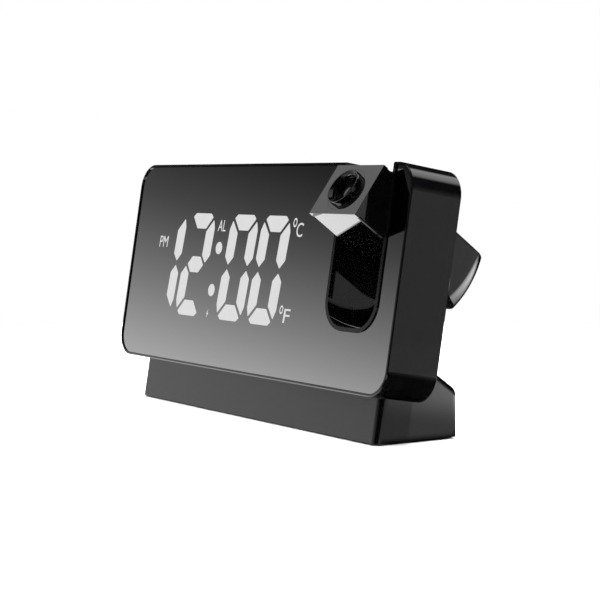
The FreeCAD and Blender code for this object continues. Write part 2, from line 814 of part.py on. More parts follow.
def make_snooze_bar():
    """The long bar let flush into the top, with a lip under the wall and a switch below it."""
    half_long = "Sizes.snooze_length / 2"
    half_wide = "Sizes.snooze_width / 2"
    lip = "Sizes.snooze_lip"
    middle = SNOOZE_MIDDLE
    centre = SNOOZE_BACK
    under = "Sizes.body_height - Sizes.case_wall"
    key = box(
        "SnoozeKey",
        ("%s - %s" % (middle, half_long), "%s - %s" % (centre, half_wide), "%s - %s / 2" % (under, lip)),
        ("%s + %s" % (middle, half_long), "%s + %s" % (centre, half_wide), "Sizes.body_height"),
    )
    key = rounded(
        "SnoozeKeyRounded", key, size("snooze_round"), lambda edge: lies_at(edge, "Z", size("body_height")),
    )
    flange = box(
        "SnoozeLip",
        (
            "%s - %s - %s" % (middle, half_long, lip), "%s - %s - %s" % (centre, half_wide, lip),
            under + " - Sizes.snooze_lip",
        ),
        ("%s + %s + %s" % (middle, half_long, lip), "%s + %s + %s" % (centre, half_wide, lip), under),
    )
    keep(fuse("SnoozeBar", key, flange), "snooze_bar", CASE)
    switch_top = "%s - Sizes.snooze_lip - Sizes.button_travel - Sizes.press_gap" % under
    switch = box(
        "SnoozeSwitchCase",
        (
            "%s - Sizes.switch_side / 2" % middle, "%s - Sizes.switch_side / 2" % centre,
            switch_top + " - Sizes.switch_height",
        ),
        (
            "%s + Sizes.switch_side / 2" % middle, "%s + Sizes.switch_side / 2" % centre,
            switch_top + " - 0.3 * Sizes.switch_height",
        ),
    )
    tip = rod(
        "SnoozeSwitchTip", "z", "Sizes.switch_side / 4",
        (middle, centre, switch_top + " - Sizes.switch_height / 2"), "Sizes.switch_height / 2",
    )
    keep(fuse("SnoozeSwitch", switch, tip), "snooze_switch", CASE)


def make_speaker():
    """The round sounder against the inner face of the back cover."""
    radius = "Sizes.speaker_radius"
    speaker = turned("Speaker", [
        ("0", "0"), ("0.45 * %s" % radius, "0"), ("0.45 * %s" % radius, "0.5 * Sizes.speaker_depth"),
        (radius, "0.7 * Sizes.speaker_depth"), (radius, "Sizes.speaker_depth"),
        ("0.3 * %s" % radius, "0.75 * Sizes.speaker_depth"), ("0", "0.75 * Sizes.speaker_depth"),
    ])
    place = FreeCAD.Vector(
        value_of(SPEAKER_MIDDLE), value_of(COVER_FRONT) - size("speaker_depth"), size("speaker_height"),
    )
    keep(speaker, "speaker", CASE, place)


# The projector arm
def make_arm_shell():
    """The arm: a square bar whose tail is turned about the axle, hollow from its lens end."""
    half_width = "%s / 2" % ARM_WIDTH
    half_thick = "Sizes.arm_thickness / 2"
    bar = box(
        "ArmBar",
        ("-" + half_width, "-(Sizes.arm_reach - Sizes.face_thickness)", "-" + half_thick),
        (half_width, "Sizes.tail_radius + Sizes.arm_wall", half_thick),
    )
    bar = rounded("ArmBarRounded", bar, size("arm_edge_round"), lambda edge: runs_along(edge, "y"))
    drum = rod("ArmDrum", "x", "Sizes.tail_radius", ("-" + half_width, "0", "0"), ARM_WIDTH)
    drum = rounded("ArmDrumRounded", drum, size("tail_corner"), is_circle)
    solid = common("ArmSolid", bar, drum)
    bay = box(
        "OpticsBay",
        (
            "-(%s - Sizes.arm_side_wall)" % half_width, "-2 * Sizes.arm_reach",
            "-(%s - Sizes.arm_wall)" % half_thick,
        ),
        (
            "%s - Sizes.arm_side_wall" % half_width,
            "-Sizes.arm_reach + Sizes.optics_bay_depth",
            "%s - Sizes.arm_wall" % half_thick,
        ),
    )
    bore = rod("AxleHole", "x", "Sizes.axle_radius", ("-" + half_width, "0", "0"), ARM_WIDTH)
    keep(cut("ArmShell", solid, bay, bore), "projector_arm", ARM)


def make_face_plate():
    """The flat plate that closes the lens end."""
    half_width = "%s / 2" % ARM_WIDTH
    half_thick = "Sizes.arm_thickness / 2"
    plate_body = plate(
        "FacePlate", rectangle("-" + half_width, half_width, "-" + half_thick, half_thick),
        "-Sizes.arm_reach", "Sizes.face_thickness",
    )
    hole = rod(
        "FaceHole", "y", "Sizes.ring_radius + Sizes.ring_fit", ("0", "-2 * Sizes.arm_reach", "0"),
        "2 * Sizes.arm_reach",
    )
    keep(cut("FacePlatePiece", plate_body, hole), "projector_face", ARM)


LENS_SEAT = "(Sizes.lens_disc_depth + Sizes.lens_disc_thickness)"


def make_focus_ring():
    """The turned focus ring, held behind the face plate by its flange, and the lens that it carries."""
    back = "Sizes.ring_depth"
    flange_radius = "Sizes.ring_radius + Sizes.ring_flange"
    flange_front = "(Sizes.face_thickness + Sizes.ring_play)"
    flange_back = flange_front + " + 2 * Sizes.ring_flange"
    ring = turned("FocusRing", [
        ("Sizes.ring_mouth_radius", "-Sizes.ring_proud"), ("Sizes.ring_front_radius", "-Sizes.ring_proud"),
        ("Sizes.ring_radius", "-0.3 * Sizes.ring_proud"), ("Sizes.ring_radius", flange_front),
        (flange_radius, flange_front), (flange_radius, flange_back),
        ("Sizes.ring_radius", flange_back), ("Sizes.ring_radius", back),
        ("0.8 * Sizes.lens_disc_radius", back), ("0.8 * Sizes.lens_disc_radius", LENS_SEAT),
        ("Sizes.lens_disc_radius", LENS_SEAT), ("Sizes.lens_disc_radius", "Sizes.lens_disc_depth"),
        ("Sizes.ring_mouth_radius", "0"),
    ])
    face = FreeCAD.Vector(0, -size("arm_reach"), 0)
    keep(ring, "focus_ring", ARM, face)
    lens = lens_disc(
        "ProjectionLens", size("lens_disc_radius"), size("lens_disc_thickness"),
        1.6 * size("lens_disc_radius"),
    )
    keep(lens, "projection_lens", ARM, FreeCAD.Vector(0, size("lens_disc_depth") - size("arm_reach"), 0))


def lens_disc(name, radius, thickness, curve_radius):
    """A disc of glass with a domed front; its front rim starts at the origin, its back is flat."""
    disc = doc.addObject("Part::Feature", name)
    dome_rise = curve_radius - math.sqrt(curve_radius ** 2 - radius ** 2)
    ball = Part.makeSphere(curve_radius, FreeCAD.Vector(0, curve_radius - dome_rise, 0))
    along = FreeCAD.Vector(0, 1, 0)
    stock = Part.makeCylinder(radius, thickness + dome_rise, FreeCAD.Vector(0, -dome_rise, 0), along)
    disc.Shape = stock.common(ball)
    return disc


def make_optics():
    """The fixed optics in the arm: carrier block, condenser, picture slide and lamp board."""
    half_width = "(%s / 2 - Sizes.arm_side_wall - Sizes.block_fit)" % ARM_WIDTH
    half_thick = "(Sizes.arm_thickness / 2 - Sizes.arm_wall - Sizes.block_fit)"
    front = "(-Sizes.arm_reach + Sizes.ring_depth + Sizes.ring_room)"
    back = "(Sizes.axle_radius + 2 * Sizes.axle_fit + Sizes.carrier_skin)"
    block = box("CarrierBlock", ("-" + half_width, front, "-" + half_thick), (half_width, back, half_thick))
    tunnel = rod(
        "CarrierTunnel", "y", "Sizes.tunnel_radius", ("0", front + " - 1", "0"),
        "%s - %s + 2" % (back, front),
    )
    axle_way = rod(
        "CarrierAxleWay", "x", "Sizes.axle_radius + 2 * Sizes.axle_fit", ("-" + half_width, "0", "0"),
        "2 * " + half_width,
    )
    half_slide = "Sizes.slide_side / 2"
    slide_front = "(%s + Sizes.slide_setback)" % front
    slide_seat = box(
        "SlideSeat",
        ("-" + half_slide, slide_front, "-" + half_slide),
        (half_slide, slide_front + " + Sizes.slide_thickness", half_slide),
    )
    keep(cut("Carrier", block, tunnel, axle_way, slide_seat), "optics_carrier", ARM)
    slide = plate(
        "PictureSlide", rectangle("-" + half_slide, half_slide, "-" + half_slide, half_slide),
        slide_front, "Sizes.slide_thickness",
    )
    keep(slide, "picture_slide", ARM)
    condenser = turned("Condenser", [
        ("0", "0"), ("Sizes.tunnel_radius", "0"), ("Sizes.tunnel_radius", "0.5 * Sizes.condenser_thickness"),
        ("0.5 * Sizes.tunnel_radius", "Sizes.condenser_thickness"), ("0", "Sizes.condenser_thickness"),
    ])
    place = value_of(slide_front + " + Sizes.slide_thickness + Sizes.condenser_gap")
    keep(condenser, "condenser_lens", ARM, FreeCAD.Vector(0, place, 0))
    lamp_board = plate(
        "LampBoard", rectangle("-" + half_width, half_width, "-" + half_thick, half_thick),
        back, "Sizes.emitter_board_thickness",
    )
    keep(lamp_board, "lamp_board", ARM)
    radius = "Sizes.lamp_radius"
    height = "Sizes.lamp_height"
    lamp = turned("Lamp", [
        ("0", "-" + height), ("0.65 * %s" % radius, "-0.92 * %s" % height), (radius, "-0.5 * %s" % height),
        (radius, "-0.33 * %s" % height), ("1.45 * %s" % radius, "-0.33 * %s" % height),
        ("1.45 * %s" % radius, "0"), ("0", "0"),
    ])
    keep(lamp, "projection_lamp", ARM, FreeCAD.Vector(0, value_of(back), 0))


def make_axle():
    """The two axle stubs pressed into the arm, their thrust washers and the clip that holds the left one."""
    half_width = "(%s / 2)" % ARM_WIDTH
    stub_length = "(Sizes.arm_side_wall + Sizes.arm_side_gap + Sizes.bearing_length)"
    groove = "(%s + Sizes.clip_thickness)" % stub_length
    left = turned("AxleLeft", [
        ("Sizes.axle_bore", "0"), ("Sizes.axle_radius", "0"), ("Sizes.axle_radius", stub_length),
        ("0.8 * Sizes.axle_radius", stub_length), ("0.8 * Sizes.axle_radius", groove),
        ("Sizes.axle_radius", groove), ("Sizes.axle_radius", groove + " + Sizes.clip_land"),
        ("Sizes.axle_bore", groove + " + Sizes.clip_land"),
    ])
    right = turned("AxleRight", [
        ("Sizes.axle_bore", "0"), ("Sizes.axle_radius", "0"), ("Sizes.axle_radius", stub_length),
        ("Sizes.axle_bore", stub_length),
    ])
    inner = (size("slot_width") / 2 - size("arm_side_gap")) - size("arm_side_wall")
    to_left = FreeCAD.Rotation(FreeCAD.Vector(0, 0, 1), 90)
    to_right = FreeCAD.Rotation(FreeCAD.Vector(0, 0, 1), -90)
    keep(left, "axle_left", ARM, FreeCAD.Vector(-inner, 0, 0), to_left)
    keep(right, "axle_right", ARM, FreeCAD.Vector(inner, 0, 0), to_right)
    clip = turned("Clip", [
        ("0.8 * Sizes.axle_radius", "0"), ("Sizes.clip_radius", "0"),
        ("Sizes.clip_radius", "Sizes.clip_thickness"), ("0.8 * Sizes.axle_radius", "Sizes.clip_thickness"),
    ])
    groove_start = inner + size("arm_side_wall") + size("arm_side_gap") + size("bearing_length")
    keep(clip, "axle_clip", ARM, FreeCAD.Vector(-groove_start, 0, 0), to_left)
    for label, side, turn in (("washer_left", -1, to_left), ("washer_right", 1, to_right)):
        washer = turned(label + "_turned", [
            ("Sizes.axle_radius + 2 * Sizes.axle_fit", "0"), ("Sizes.washer_radius", "0"),
            ("Sizes.washer_radius", "Sizes.washer_thickness"),
            ("Sizes.axle_radius + 2 * Sizes.axle_fit", "Sizes.washer_thickness"),
        ])
        inner_face = size("slot_width") / 2 - size("washer_thickness")
        place = FreeCAD.Vector(
            value_of(SLOT_CENTRE) + side * inner_face, size("body_depth") / 2, pivot_height,
        )
        keep(washer, label, CASE, place, turn)


# The foot, in two moulded halves that meet in the plane of the case's back
LEAN = "Sizes.lean_angle"
TOP_FRONT = ("Sizes.foot_setback * cos(%s)" % LEAN, "-Sizes.foot_setback * sin(%s)" % LEAN)
TOP_BACK = ("Sizes.body_depth * cos(%s)" % LEAN, "-Sizes.body_depth * sin(%s)" % LEAN)
SHOULDER = (
    "(%s + Sizes.foot_shoulder * sin(%s))" % (TOP_BACK[0], LEAN),
    "(%s + Sizes.foot_shoulder * cos(%s))" % (TOP_BACK[1], LEAN),
)
BACK_TOP = (
    "Sizes.foot_reach",
    "(%s - (Sizes.foot_reach - %s) * tan(Sizes.foot_shoulder_slope))" % (SHOULDER[1], SHOULDER[0]),
)
PLATE_TOP = "(-Sizes.foot_drop + Sizes.base_plate_thickness)"


def leaning_down(point, drop="Sizes.foot_drop"):
    """How far back a line parallel to the panel stands where it reaches a depth below the case."""
    return "(%s - (%s + %s) * tan(%s))" % (point[0], drop, point[1], LEAN)


FRONT_INSIDE = "(%s + Sizes.foot_wall / cos(%s))" % (leaning_down(TOP_FRONT), LEAN)


def side_profile(body, name, corners, inset, length, cutting):
    """A profile seen from the side, run across the foot between equal insets."""
    sketch = outline(body, "YZ_Plane", name, corners, "-(Sizes.foot_width / 2 - %s)" % inset)
    if cutting:
        return pocket(body, sketch, length, backwards=True)
    return pad(body, sketch, length)


def foot_columns(which, top):
    """The screw columns of one end of the foot, from the base plate up into its roof."""
    return [
        rod(
            "Column_%s_%s" % (end, hand), "z", "Sizes.boss_radius",
            (sign + COLUMN_ACROSS, back, PLATE_TOP), "%s - %s" % (top, PLATE_TOP),
        )
        for end, hand, sign, back in foot_corners() if end == which
    ]


def column_holes(which):
    """The pilot holes of one end's columns."""
    return [
        rod(
            "ColumnHole_%s_%s" % (end, hand), "z", "Sizes.screw_shank",
            (sign + COLUMN_ACROSS, back, "-Sizes.foot_drop"), "1 + Sizes.base_screw_length",
        )
        for end, hand, sign, back in foot_corners() if end == which
    ]


FRONT_COLUMN_BACK = "(%s + Sizes.pad_radius + Sizes.column_room)" % FRONT_INSIDE
REAR_COLUMN_BACK = "(Sizes.foot_reach - Sizes.foot_wall - Sizes.pad_radius - Sizes.column_room)"
PAD_ACROSS = "(Sizes.foot_width / 2 - Sizes.pad_inset)"
COLUMN_ACROSS = "(Sizes.foot_width / 2 - 2.4 * Sizes.pad_inset)"
FRONT_COLUMN_TOP = (
    "(-(%s + Sizes.boss_radius) * tan(%s) - Sizes.column_skin)" % (FRONT_COLUMN_BACK, LEAN)
)
REAR_COLUMN_TOP = (
    "(%s - (%s + Sizes.boss_radius - %s) * tan(Sizes.foot_shoulder_slope) - Sizes.column_skin)"
    % (SHOULDER[1], REAR_COLUMN_BACK, SHOULDER[0])
)
DOOR_BACK = "((%s + Sizes.foot_reach) / 2)" % FRONT_INSIDE
SOCKET_FLOOR = "(%s + Sizes.board_lift + Sizes.board_thickness)" % PLATE_TOP
UPRIGHT = FreeCAD.Rotation(X_AXIS, 90)


def foot_corners():
    """The four places of columns and pads: end, hand, sign across and how far back."""
    return [
        (end, hand, sign, back)
        for end, back in (("front", FRONT_COLUMN_BACK), ("rear", REAR_COLUMN_BACK))
        for hand, sign in (("left", "-"), ("right", ""))
    ]


def make_foot_front():
    """The front half of the foot, set back below the case, its face parallel to the panel."""
    body = doc.addObject("PartDesign::Body", "FootFrontBody")
    wall = "Sizes.foot_wall"
    corners = [
        TOP_FRONT, TOP_BACK,
        (leaning_down(TOP_BACK), "-Sizes.foot_drop"), (leaning_down(TOP_FRONT), "-Sizes.foot_drop"),
    ]
    side_profile(body, "FootFrontOutside", corners, "0", "Sizes.foot_width", False)
    half = size("foot_width") / 2
    round_edges(
        body, "FootFrontCorners", "Sizes.foot_corner",
        lambda edge: near(abs(edge.BoundBox.XMax), half) and near(edge.BoundBox.XLength, 0)
        and edge.BoundBox.YMax < size("foot_setback") + 1 and edge.BoundBox.ZLength > 2,
    )
    inner_top = ("(%s + %s / cos(%s))" % (TOP_FRONT[0], wall, LEAN), TOP_FRONT[1])
    roof = "(-%s * tan(%s) - %s / cos(%s))"
    far = "Sizes.foot_reach"
    inside = [
        (FRONT_INSIDE, "-Sizes.foot_drop"), (far, "-Sizes.foot_drop"),
        (far, roof % (far, LEAN, wall, LEAN)),
        (
            leaning_down(inner_top, "(%s * tan(%s) + %s / cos(%s))" % (inner_top[0], LEAN, wall, LEAN)),
            roof % (inner_top[0], LEAN, wall, LEAN),
        ),
    ]
    side_profile(
        body, "FootFrontInside", inside, wall, "Sizes.foot_width - 2 * " + wall, True,
    )
    solid = fuse("FootFrontSolid", body, *foot_columns("front", FRONT_COLUMN_TOP))
    keep(cut("FootFront", solid, *column_holes("front")), "foot_front", FOOT)


def socket_corners(name, margin):
    """The low and high corners of a socket's shell, grown by a margin."""
    place = "Sizes.%s_socket_place" % name
    half = "(Sizes.%s_socket_width / 2 + %s)" % (name, margin)
    low = (
        "%s - %s" % (place, half),
        "Sizes.foot_reach - Sizes.%s_socket_depth" % name,
        "%s - %s" % (SOCKET_FLOOR, margin),
    )
    high = (
        "%s + %s" % (place, half),
        "Sizes.foot_reach + 2 * (%s)" % margin,
        "%s + Sizes.%s_socket_height + %s" % (SOCKET_FLOOR, name, margin),
    )
    return low, high


def make_foot_rear():
    """The rear half of the foot behind the case: sloped shoulder, rounded back, socket openings."""
    body = doc.addObject("PartDesign::Body", "FootRearBody")
    wall = "Sizes.foot_wall"
    corners = [
        (leaning_down(TOP_BACK), "-Sizes.foot_drop"), (BACK_TOP[0], "-Sizes.foot_drop"), BACK_TOP, SHOULDER,
    ]
    side_profile(body, "FootRearOutside", corners, "0", "Sizes.foot_width", False)
    reach = size("foot_reach")
    round_edges(
        body, "FootRearRound", "Sizes.foot_back_round",
        lambda edge: runs_along(edge, "x") and near(edge.BoundBox.YMax, reach)
        and edge.BoundBox.ZMin > -size("foot_drop") + 1,
    )
    half = size("foot_width") / 2
    round_edges(
        body, "FootRearCorners", "Sizes.foot_corner",
        lambda edge: near(abs(edge.BoundBox.XMax), half) and near(edge.BoundBox.XLength, 0)
        and runs_along(edge, "z") and near(edge.BoundBox.YMax, reach),
    )
    slope = "Sizes.foot_shoulder_slope"
    inner_shoulder_up = "(%s - %s / cos(%s))" % (SHOULDER[1], wall, slope)
    inner_reach = "(Sizes.foot_reach - %s)" % wall
    round_room = "(Sizes.foot_back_round - %s)" % wall
    ledge = "(%s - (%s - %s - %s) * tan(%s))" % (
        inner_shoulder_up, inner_reach, round_room, SHOULDER[0], slope,
    )
    inside = [
        ("0", "-Sizes.foot_drop"), (inner_reach, "-Sizes.foot_drop"),
        (inner_reach, "(%s - %s)" % (ledge, round_room)),
        ("(%s - %s)" % (inner_reach, round_room), ledge),
        ("0", "(%s + %s * tan(%s))" % (inner_shoulder_up, SHOULDER[0], slope)),
    ]
    side_profile(body, "FootRearInside", inside, wall, "Sizes.foot_width - 2 * " + wall, True)
    solid = fuse("FootRearSolid", body, *foot_columns("rear", REAR_COLUMN_TOP))
    openings = [
        box(name.capitalize() + "Opening", *socket_corners(name, "Sizes.socket_gap"))
        for name in ("power", "usb")
    ]
    keep(cut("FootRear", solid, *column_holes("rear"), *openings), "foot_rear", FOOT)


def make_sockets():
    """The power and charging sockets: folded metal shells with a tongue, on their own board."""
    for name, tongue_share in (("power", 0.5), ("usb", 0.62)):
        low, high = socket_corners(name, "0")
        shell = box(name + "Shell", low, high)
        skin = "Sizes.socket_skin"
        room = box(
            name + "Room",
            ("%s + %s" % (low[0], skin), "%s + %s" % (low[1], skin), "%s + %s" % (low[2], skin)),
            ("%s - %s" % (high[0], skin), "%s + 1" % high[1], "%s - %s" % (high[2], skin)),
        )
        width = "Sizes.%s_socket_width" % name
        height = "Sizes.%s_socket_height" % name
        middle = "(%s + %s * %s)" % (low[2], tongue_share, height)
        tongue = box(
            name + "Tongue",
            ("%s + 0.16 * %s" % (low[0], width), low[1], "%s - 0.1 * %s" % (middle, height)),
            ("%s - 0.16 * %s" % (high[0], width), "%s - 1" % high[1], "%s + 0.1 * %s" % (middle, height)),
        )
        keep(fuse(name + "Socket", cut(name + "Hollow", shell, room), tongue), name + "_socket", FOOT)
    board = box(
        "PowerBoardBlank",
        (
            "Sizes.power_socket_place - Sizes.power_socket_width",
            "Sizes.foot_reach - Sizes.foot_wall - 1.4 * Sizes.usb_socket_depth",
            SOCKET_FLOOR + " - Sizes.board_thickness",
        ),
        (
            "Sizes.usb_socket_place + Sizes.usb_socket_width",
            "Sizes.foot_reach - Sizes.foot_wall - Sizes.socket_gap",
            SOCKET_FLOOR,
        ),
    )
    middle = "((Sizes.power_socket_place + Sizes.usb_socket_place) / 2)"
    half_long = "Sizes.converter_length / 2"
    high = "Sizes.converter_height"
    converter_back = "(Sizes.foot_reach - Sizes.foot_wall - Sizes.usb_socket_depth - %s)" % high
    converter = box(
        "PowerConverter",
        ("%s - %s" % (middle, half_long), "%s - %s" % (converter_back, high), SOCKET_FLOOR),
        ("%s + %s" % (middle, half_long), converter_back, "%s + %s" % (SOCKET_FLOOR, high)),
    )
    keep(fuse("PowerBoard", board, converter), "power_board", FOOT)


def make_base_plate():
    """The plate that closes the foot from below, with seats for the pads, screws and battery door."""
    gap = "Sizes.cover_gap"
    half = "(Sizes.foot_width / 2 - Sizes.foot_wall - %s)" % gap
    front = "%s + Sizes.base_plate_thickness * tan(%s) + %s" % (FRONT_INSIDE, LEAN, gap)
    blank = box(
        "BasePlateBlank", ("-" + half, front, "-Sizes.foot_drop"),
        (half, "Sizes.foot_reach - Sizes.foot_wall - %s" % gap, PLATE_TOP),
    )
    hole_radius = "Sizes.screw_shank + Sizes.screw_clearance"
    sink_radius = "Sizes.screw_head + Sizes.screw_clearance"
    below = "-Sizes.foot_drop - 1"
    tools = []
    screws = []
    for end, hand, sign, back in foot_corners():
        name = "_%s_%s" % (end, hand)
        pad_middle = (sign + PAD_ACROSS, back, below)
        tools.append(rod("PadSeat" + name, "z", "Sizes.pad_radius", pad_middle, "1 + Sizes.pad_sink"))
        middle = (sign + COLUMN_ACROSS, back, below)
        tools.append(rod("PlateHole" + name, "z", hole_radius, middle, "2 + Sizes.base_plate_thickness"))
        tools.append(rod("PlateSink" + name, "z", sink_radius, middle, "1 + Sizes.screw_head_height"))
        middle = (sign + COLUMN_ACROSS, back, "-Sizes.foot_drop")
        screws.append(rod("BaseHead" + name, "z", "Sizes.screw_head", middle, "Sizes.screw_head_height"))
        screws.append(rod("BaseShank" + name, "z", "Sizes.screw_shank", middle, "Sizes.base_screw_length"))
    tools.append(rod(
        "DoorHole", "z", "Sizes.door_radius + Sizes.door_gap", ("Sizes.cell_place", DOOR_BACK, below),
        "2 + Sizes.base_plate_thickness",
    ))
    keep(cut("BasePlate", blank, *tools), "base_plate", FOOT)
    keep(fuse("BaseScrews", *screws), "base_screws", FOOT)


def make_pads():
    """Four round rubber pads let into the base plate."""
    for end, hand, sign, back in foot_corners():
        name = "foot_pad_%s_%s" % (end, hand)
        pad_body = turned(name + "_turned", [
            ("0", "-Sizes.pad_height"), ("Sizes.pad_radius - Sizes.pad_bevel", "-Sizes.pad_height"),
            ("Sizes.pad_radius", "-Sizes.pad_height + Sizes.pad_bevel"),
            ("Sizes.pad_radius", "Sizes.pad_sink"), ("0", "Sizes.pad_sink"),
        ])
        place = FreeCAD.Vector(value_of(sign + PAD_ACROSS), value_of(back), -size("foot_drop"))
        keep(pad_body, name, FOOT, place, UPRIGHT)


def make_backup_cell():
    """The coin cell, its cup and the round door that is turned to open it."""
    thick = "Sizes.base_plate_thickness"
    door = turned(
        "DoorTurned", [("0", "0"), ("Sizes.door_radius", "0"), ("Sizes.door_radius", thick), ("0", thick)],
    )
    half_long = "Sizes.coin_slot_length / 2"
    half_wide = "Sizes.coin_slot_width / 2"
    slot = box(
        "DoorSlot", ("-" + half_long, "-1", "-" + half_wide),
        (half_long, "Sizes.coin_slot_depth", half_wide),
    )
    seat = FreeCAD.Vector(size("cell_place"), value_of(DOOR_BACK), -size("foot_drop"))
    keep(cut("BatteryDoor", door, slot), "battery_door", FOOT, seat, UPRIGHT)
    under = "(%s + Sizes.cell_gap)" % thick
    top = "(%s + Sizes.cell_thickness)" % under
    cell = turned("Cell", [
        ("0", under), ("0.8 * Sizes.cell_radius", under),
        ("Sizes.cell_radius", under + " + Sizes.cell_bevel"), ("Sizes.cell_radius", top), ("0", top),
    ])
    keep(cell, "coin_cell", FOOT, seat, UPRIGHT)
    inner = "(Sizes.cell_radius + Sizes.cell_fit)"
    outer = "(%s + Sizes.cup_wall)" % inner
    rim = "(Sizes.door_radius + Sizes.cup_flange_width)"
    rim_top = "(%s + Sizes.cup_flange)" % thick
    ceiling = "(%s + Sizes.cell_gap / 2)" % top
    roof = "(%s + Sizes.cup_roof)" % ceiling
    cup = turned("CellCup", [
        (inner, thick), (rim, thick), (rim, rim_top), (outer, rim_top), (outer, roof), ("0", roof),
        ("0", ceiling), (inner, ceiling),
    ])
    keep(cup, "cell_cup", FOOT, seat, UPRIGHT)


# Build
make_front_housing()
make_mirror_panel()
make_display()
make_back_cover()
make_cover_screws()
make_main_board()
make_buttons()
make_snooze_bar()
make_speaker()
make_arm_shell()
make_face_plate()
make_focus_ring()
make_optics()
make_axle()
make_foot_front()
make_foot_rear()
make_sockets()
make_base_plate()
make_pads()
make_backup_cell()
doc.recompute()

# Check everything before writing anything
for thing in doc.Objects:
    if "Invalid" in thing.State or "Error" in thing.State:
        raise RuntimeError("%s (%s): %s" % (thing.Name, thing.Label, thing.State))
for piece in pieces:
    if piece.Shape.isNull() or not piece.Shape.isValid():
        raise RuntimeError("%s has no valid shape" % piece.Label)

os.makedirs("parts", exist_ok=True)
for piece in pieces:
    piece.Shape.exportStep("parts/%s.step" % piece.Label)
print("%d pieces" % len(pieces))
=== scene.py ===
"""Looks of a projection alarm clock: glossy black case, lit display, projector arm and studio."""

import logging
import math
from dataclasses import dataclass
from enum import Enum

import bmesh
import bpy
from mathutils import Matrix, Vector


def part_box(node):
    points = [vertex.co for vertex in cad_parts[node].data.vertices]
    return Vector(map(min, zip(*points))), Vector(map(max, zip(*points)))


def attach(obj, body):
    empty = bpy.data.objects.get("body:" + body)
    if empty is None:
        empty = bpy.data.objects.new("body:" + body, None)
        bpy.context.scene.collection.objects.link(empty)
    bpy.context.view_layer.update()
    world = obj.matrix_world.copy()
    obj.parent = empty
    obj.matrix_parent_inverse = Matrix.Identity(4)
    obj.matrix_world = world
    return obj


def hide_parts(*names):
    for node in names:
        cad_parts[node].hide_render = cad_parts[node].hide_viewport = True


log = logging.getLogger("projection_clock")
logging.basicConfig(level=logging.INFO, format="%(message)s")

MM = 0.001
MM_PER_METRE = 1000
# nearly every value of a noise texture lies between these two
NOISE_LOW, NOISE_HIGH = 0.3, 0.7
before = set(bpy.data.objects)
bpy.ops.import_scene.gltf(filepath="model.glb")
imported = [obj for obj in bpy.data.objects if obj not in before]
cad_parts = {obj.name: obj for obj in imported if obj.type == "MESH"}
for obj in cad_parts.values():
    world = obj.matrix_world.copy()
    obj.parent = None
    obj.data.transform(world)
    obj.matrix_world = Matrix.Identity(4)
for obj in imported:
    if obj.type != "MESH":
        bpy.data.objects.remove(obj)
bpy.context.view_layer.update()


def tone(code: str) -> tuple[float, float, float, float]:
    """Turns an sRGB hex colour into the linear colour that the shaders take.

    Args:
        code: Six hex digits, such as "1a1b1c".

    Returns:
        Linear red, green, blue and an alpha of 1.
    """
    channels = [int(code[k:k + 2], 16) / 255 for k in (0, 2, 4)]
    linear = [c / 12.92 if c <= 0.04045 else ((c + 0.055) / 1.055) ** 2.4 for c in channels]
    return (linear[0], linear[1], linear[2], 1.0)


def add_node(tree: bpy.types.NodeTree, kind: str, **values: object) -> bpy.types.Node:
    """Adds a node and sets it up.

    Args:
        tree: The node tree.
        kind: The node's type without "ShaderNode".
        **values: Node properties by their own name, and inputs by name with "_" for blanks or by
            number as in _0. A value that is an output socket is linked.

    Returns:
        The new node.
    """
    node = tree.nodes.new("ShaderNode" + kind)
    for name, value in values.items():
        if hasattr(node, name) and name not in node.inputs:
            setattr(node, name, value)
            continue
        socket = node.inputs[int(name[1:]) if name[1:].isdigit() else name.replace("_", " ")]
        if isinstance(value, bpy.types.NodeSocket):
            tree.links.new(value, socket)
        else:
            socket.default_value = value
    return node


def ramp(tree: bpy.types.NodeTree, source: bpy.types.NodeSocket,
         stops: list[tuple[float, tuple[float, float, float, float]]]) -> bpy.types.NodeSocket:
    """Adds a colour ramp with the given stops and returns its colour.

    Args:
        tree: The node tree.
        source: What drives the ramp.
        stops: Places from 0 to 1 and their linear colours, in rising order.

    Returns:
        The ramp's colour output.
    """
    node = add_node(tree, "ValToRGB", Fac=source)
    elements = node.color_ramp.elements
    while len(elements) < len(stops):
        elements.new(1.0)
    for element, (place, colour) in zip(elements, stops):
        element.position = place
        element.color = colour
    return node.outputs["Color"]


def grey(level: float) -> tuple[float, float, float, float]:
    """A neutral linear colour."""
    return (level, level, level, 1.0)


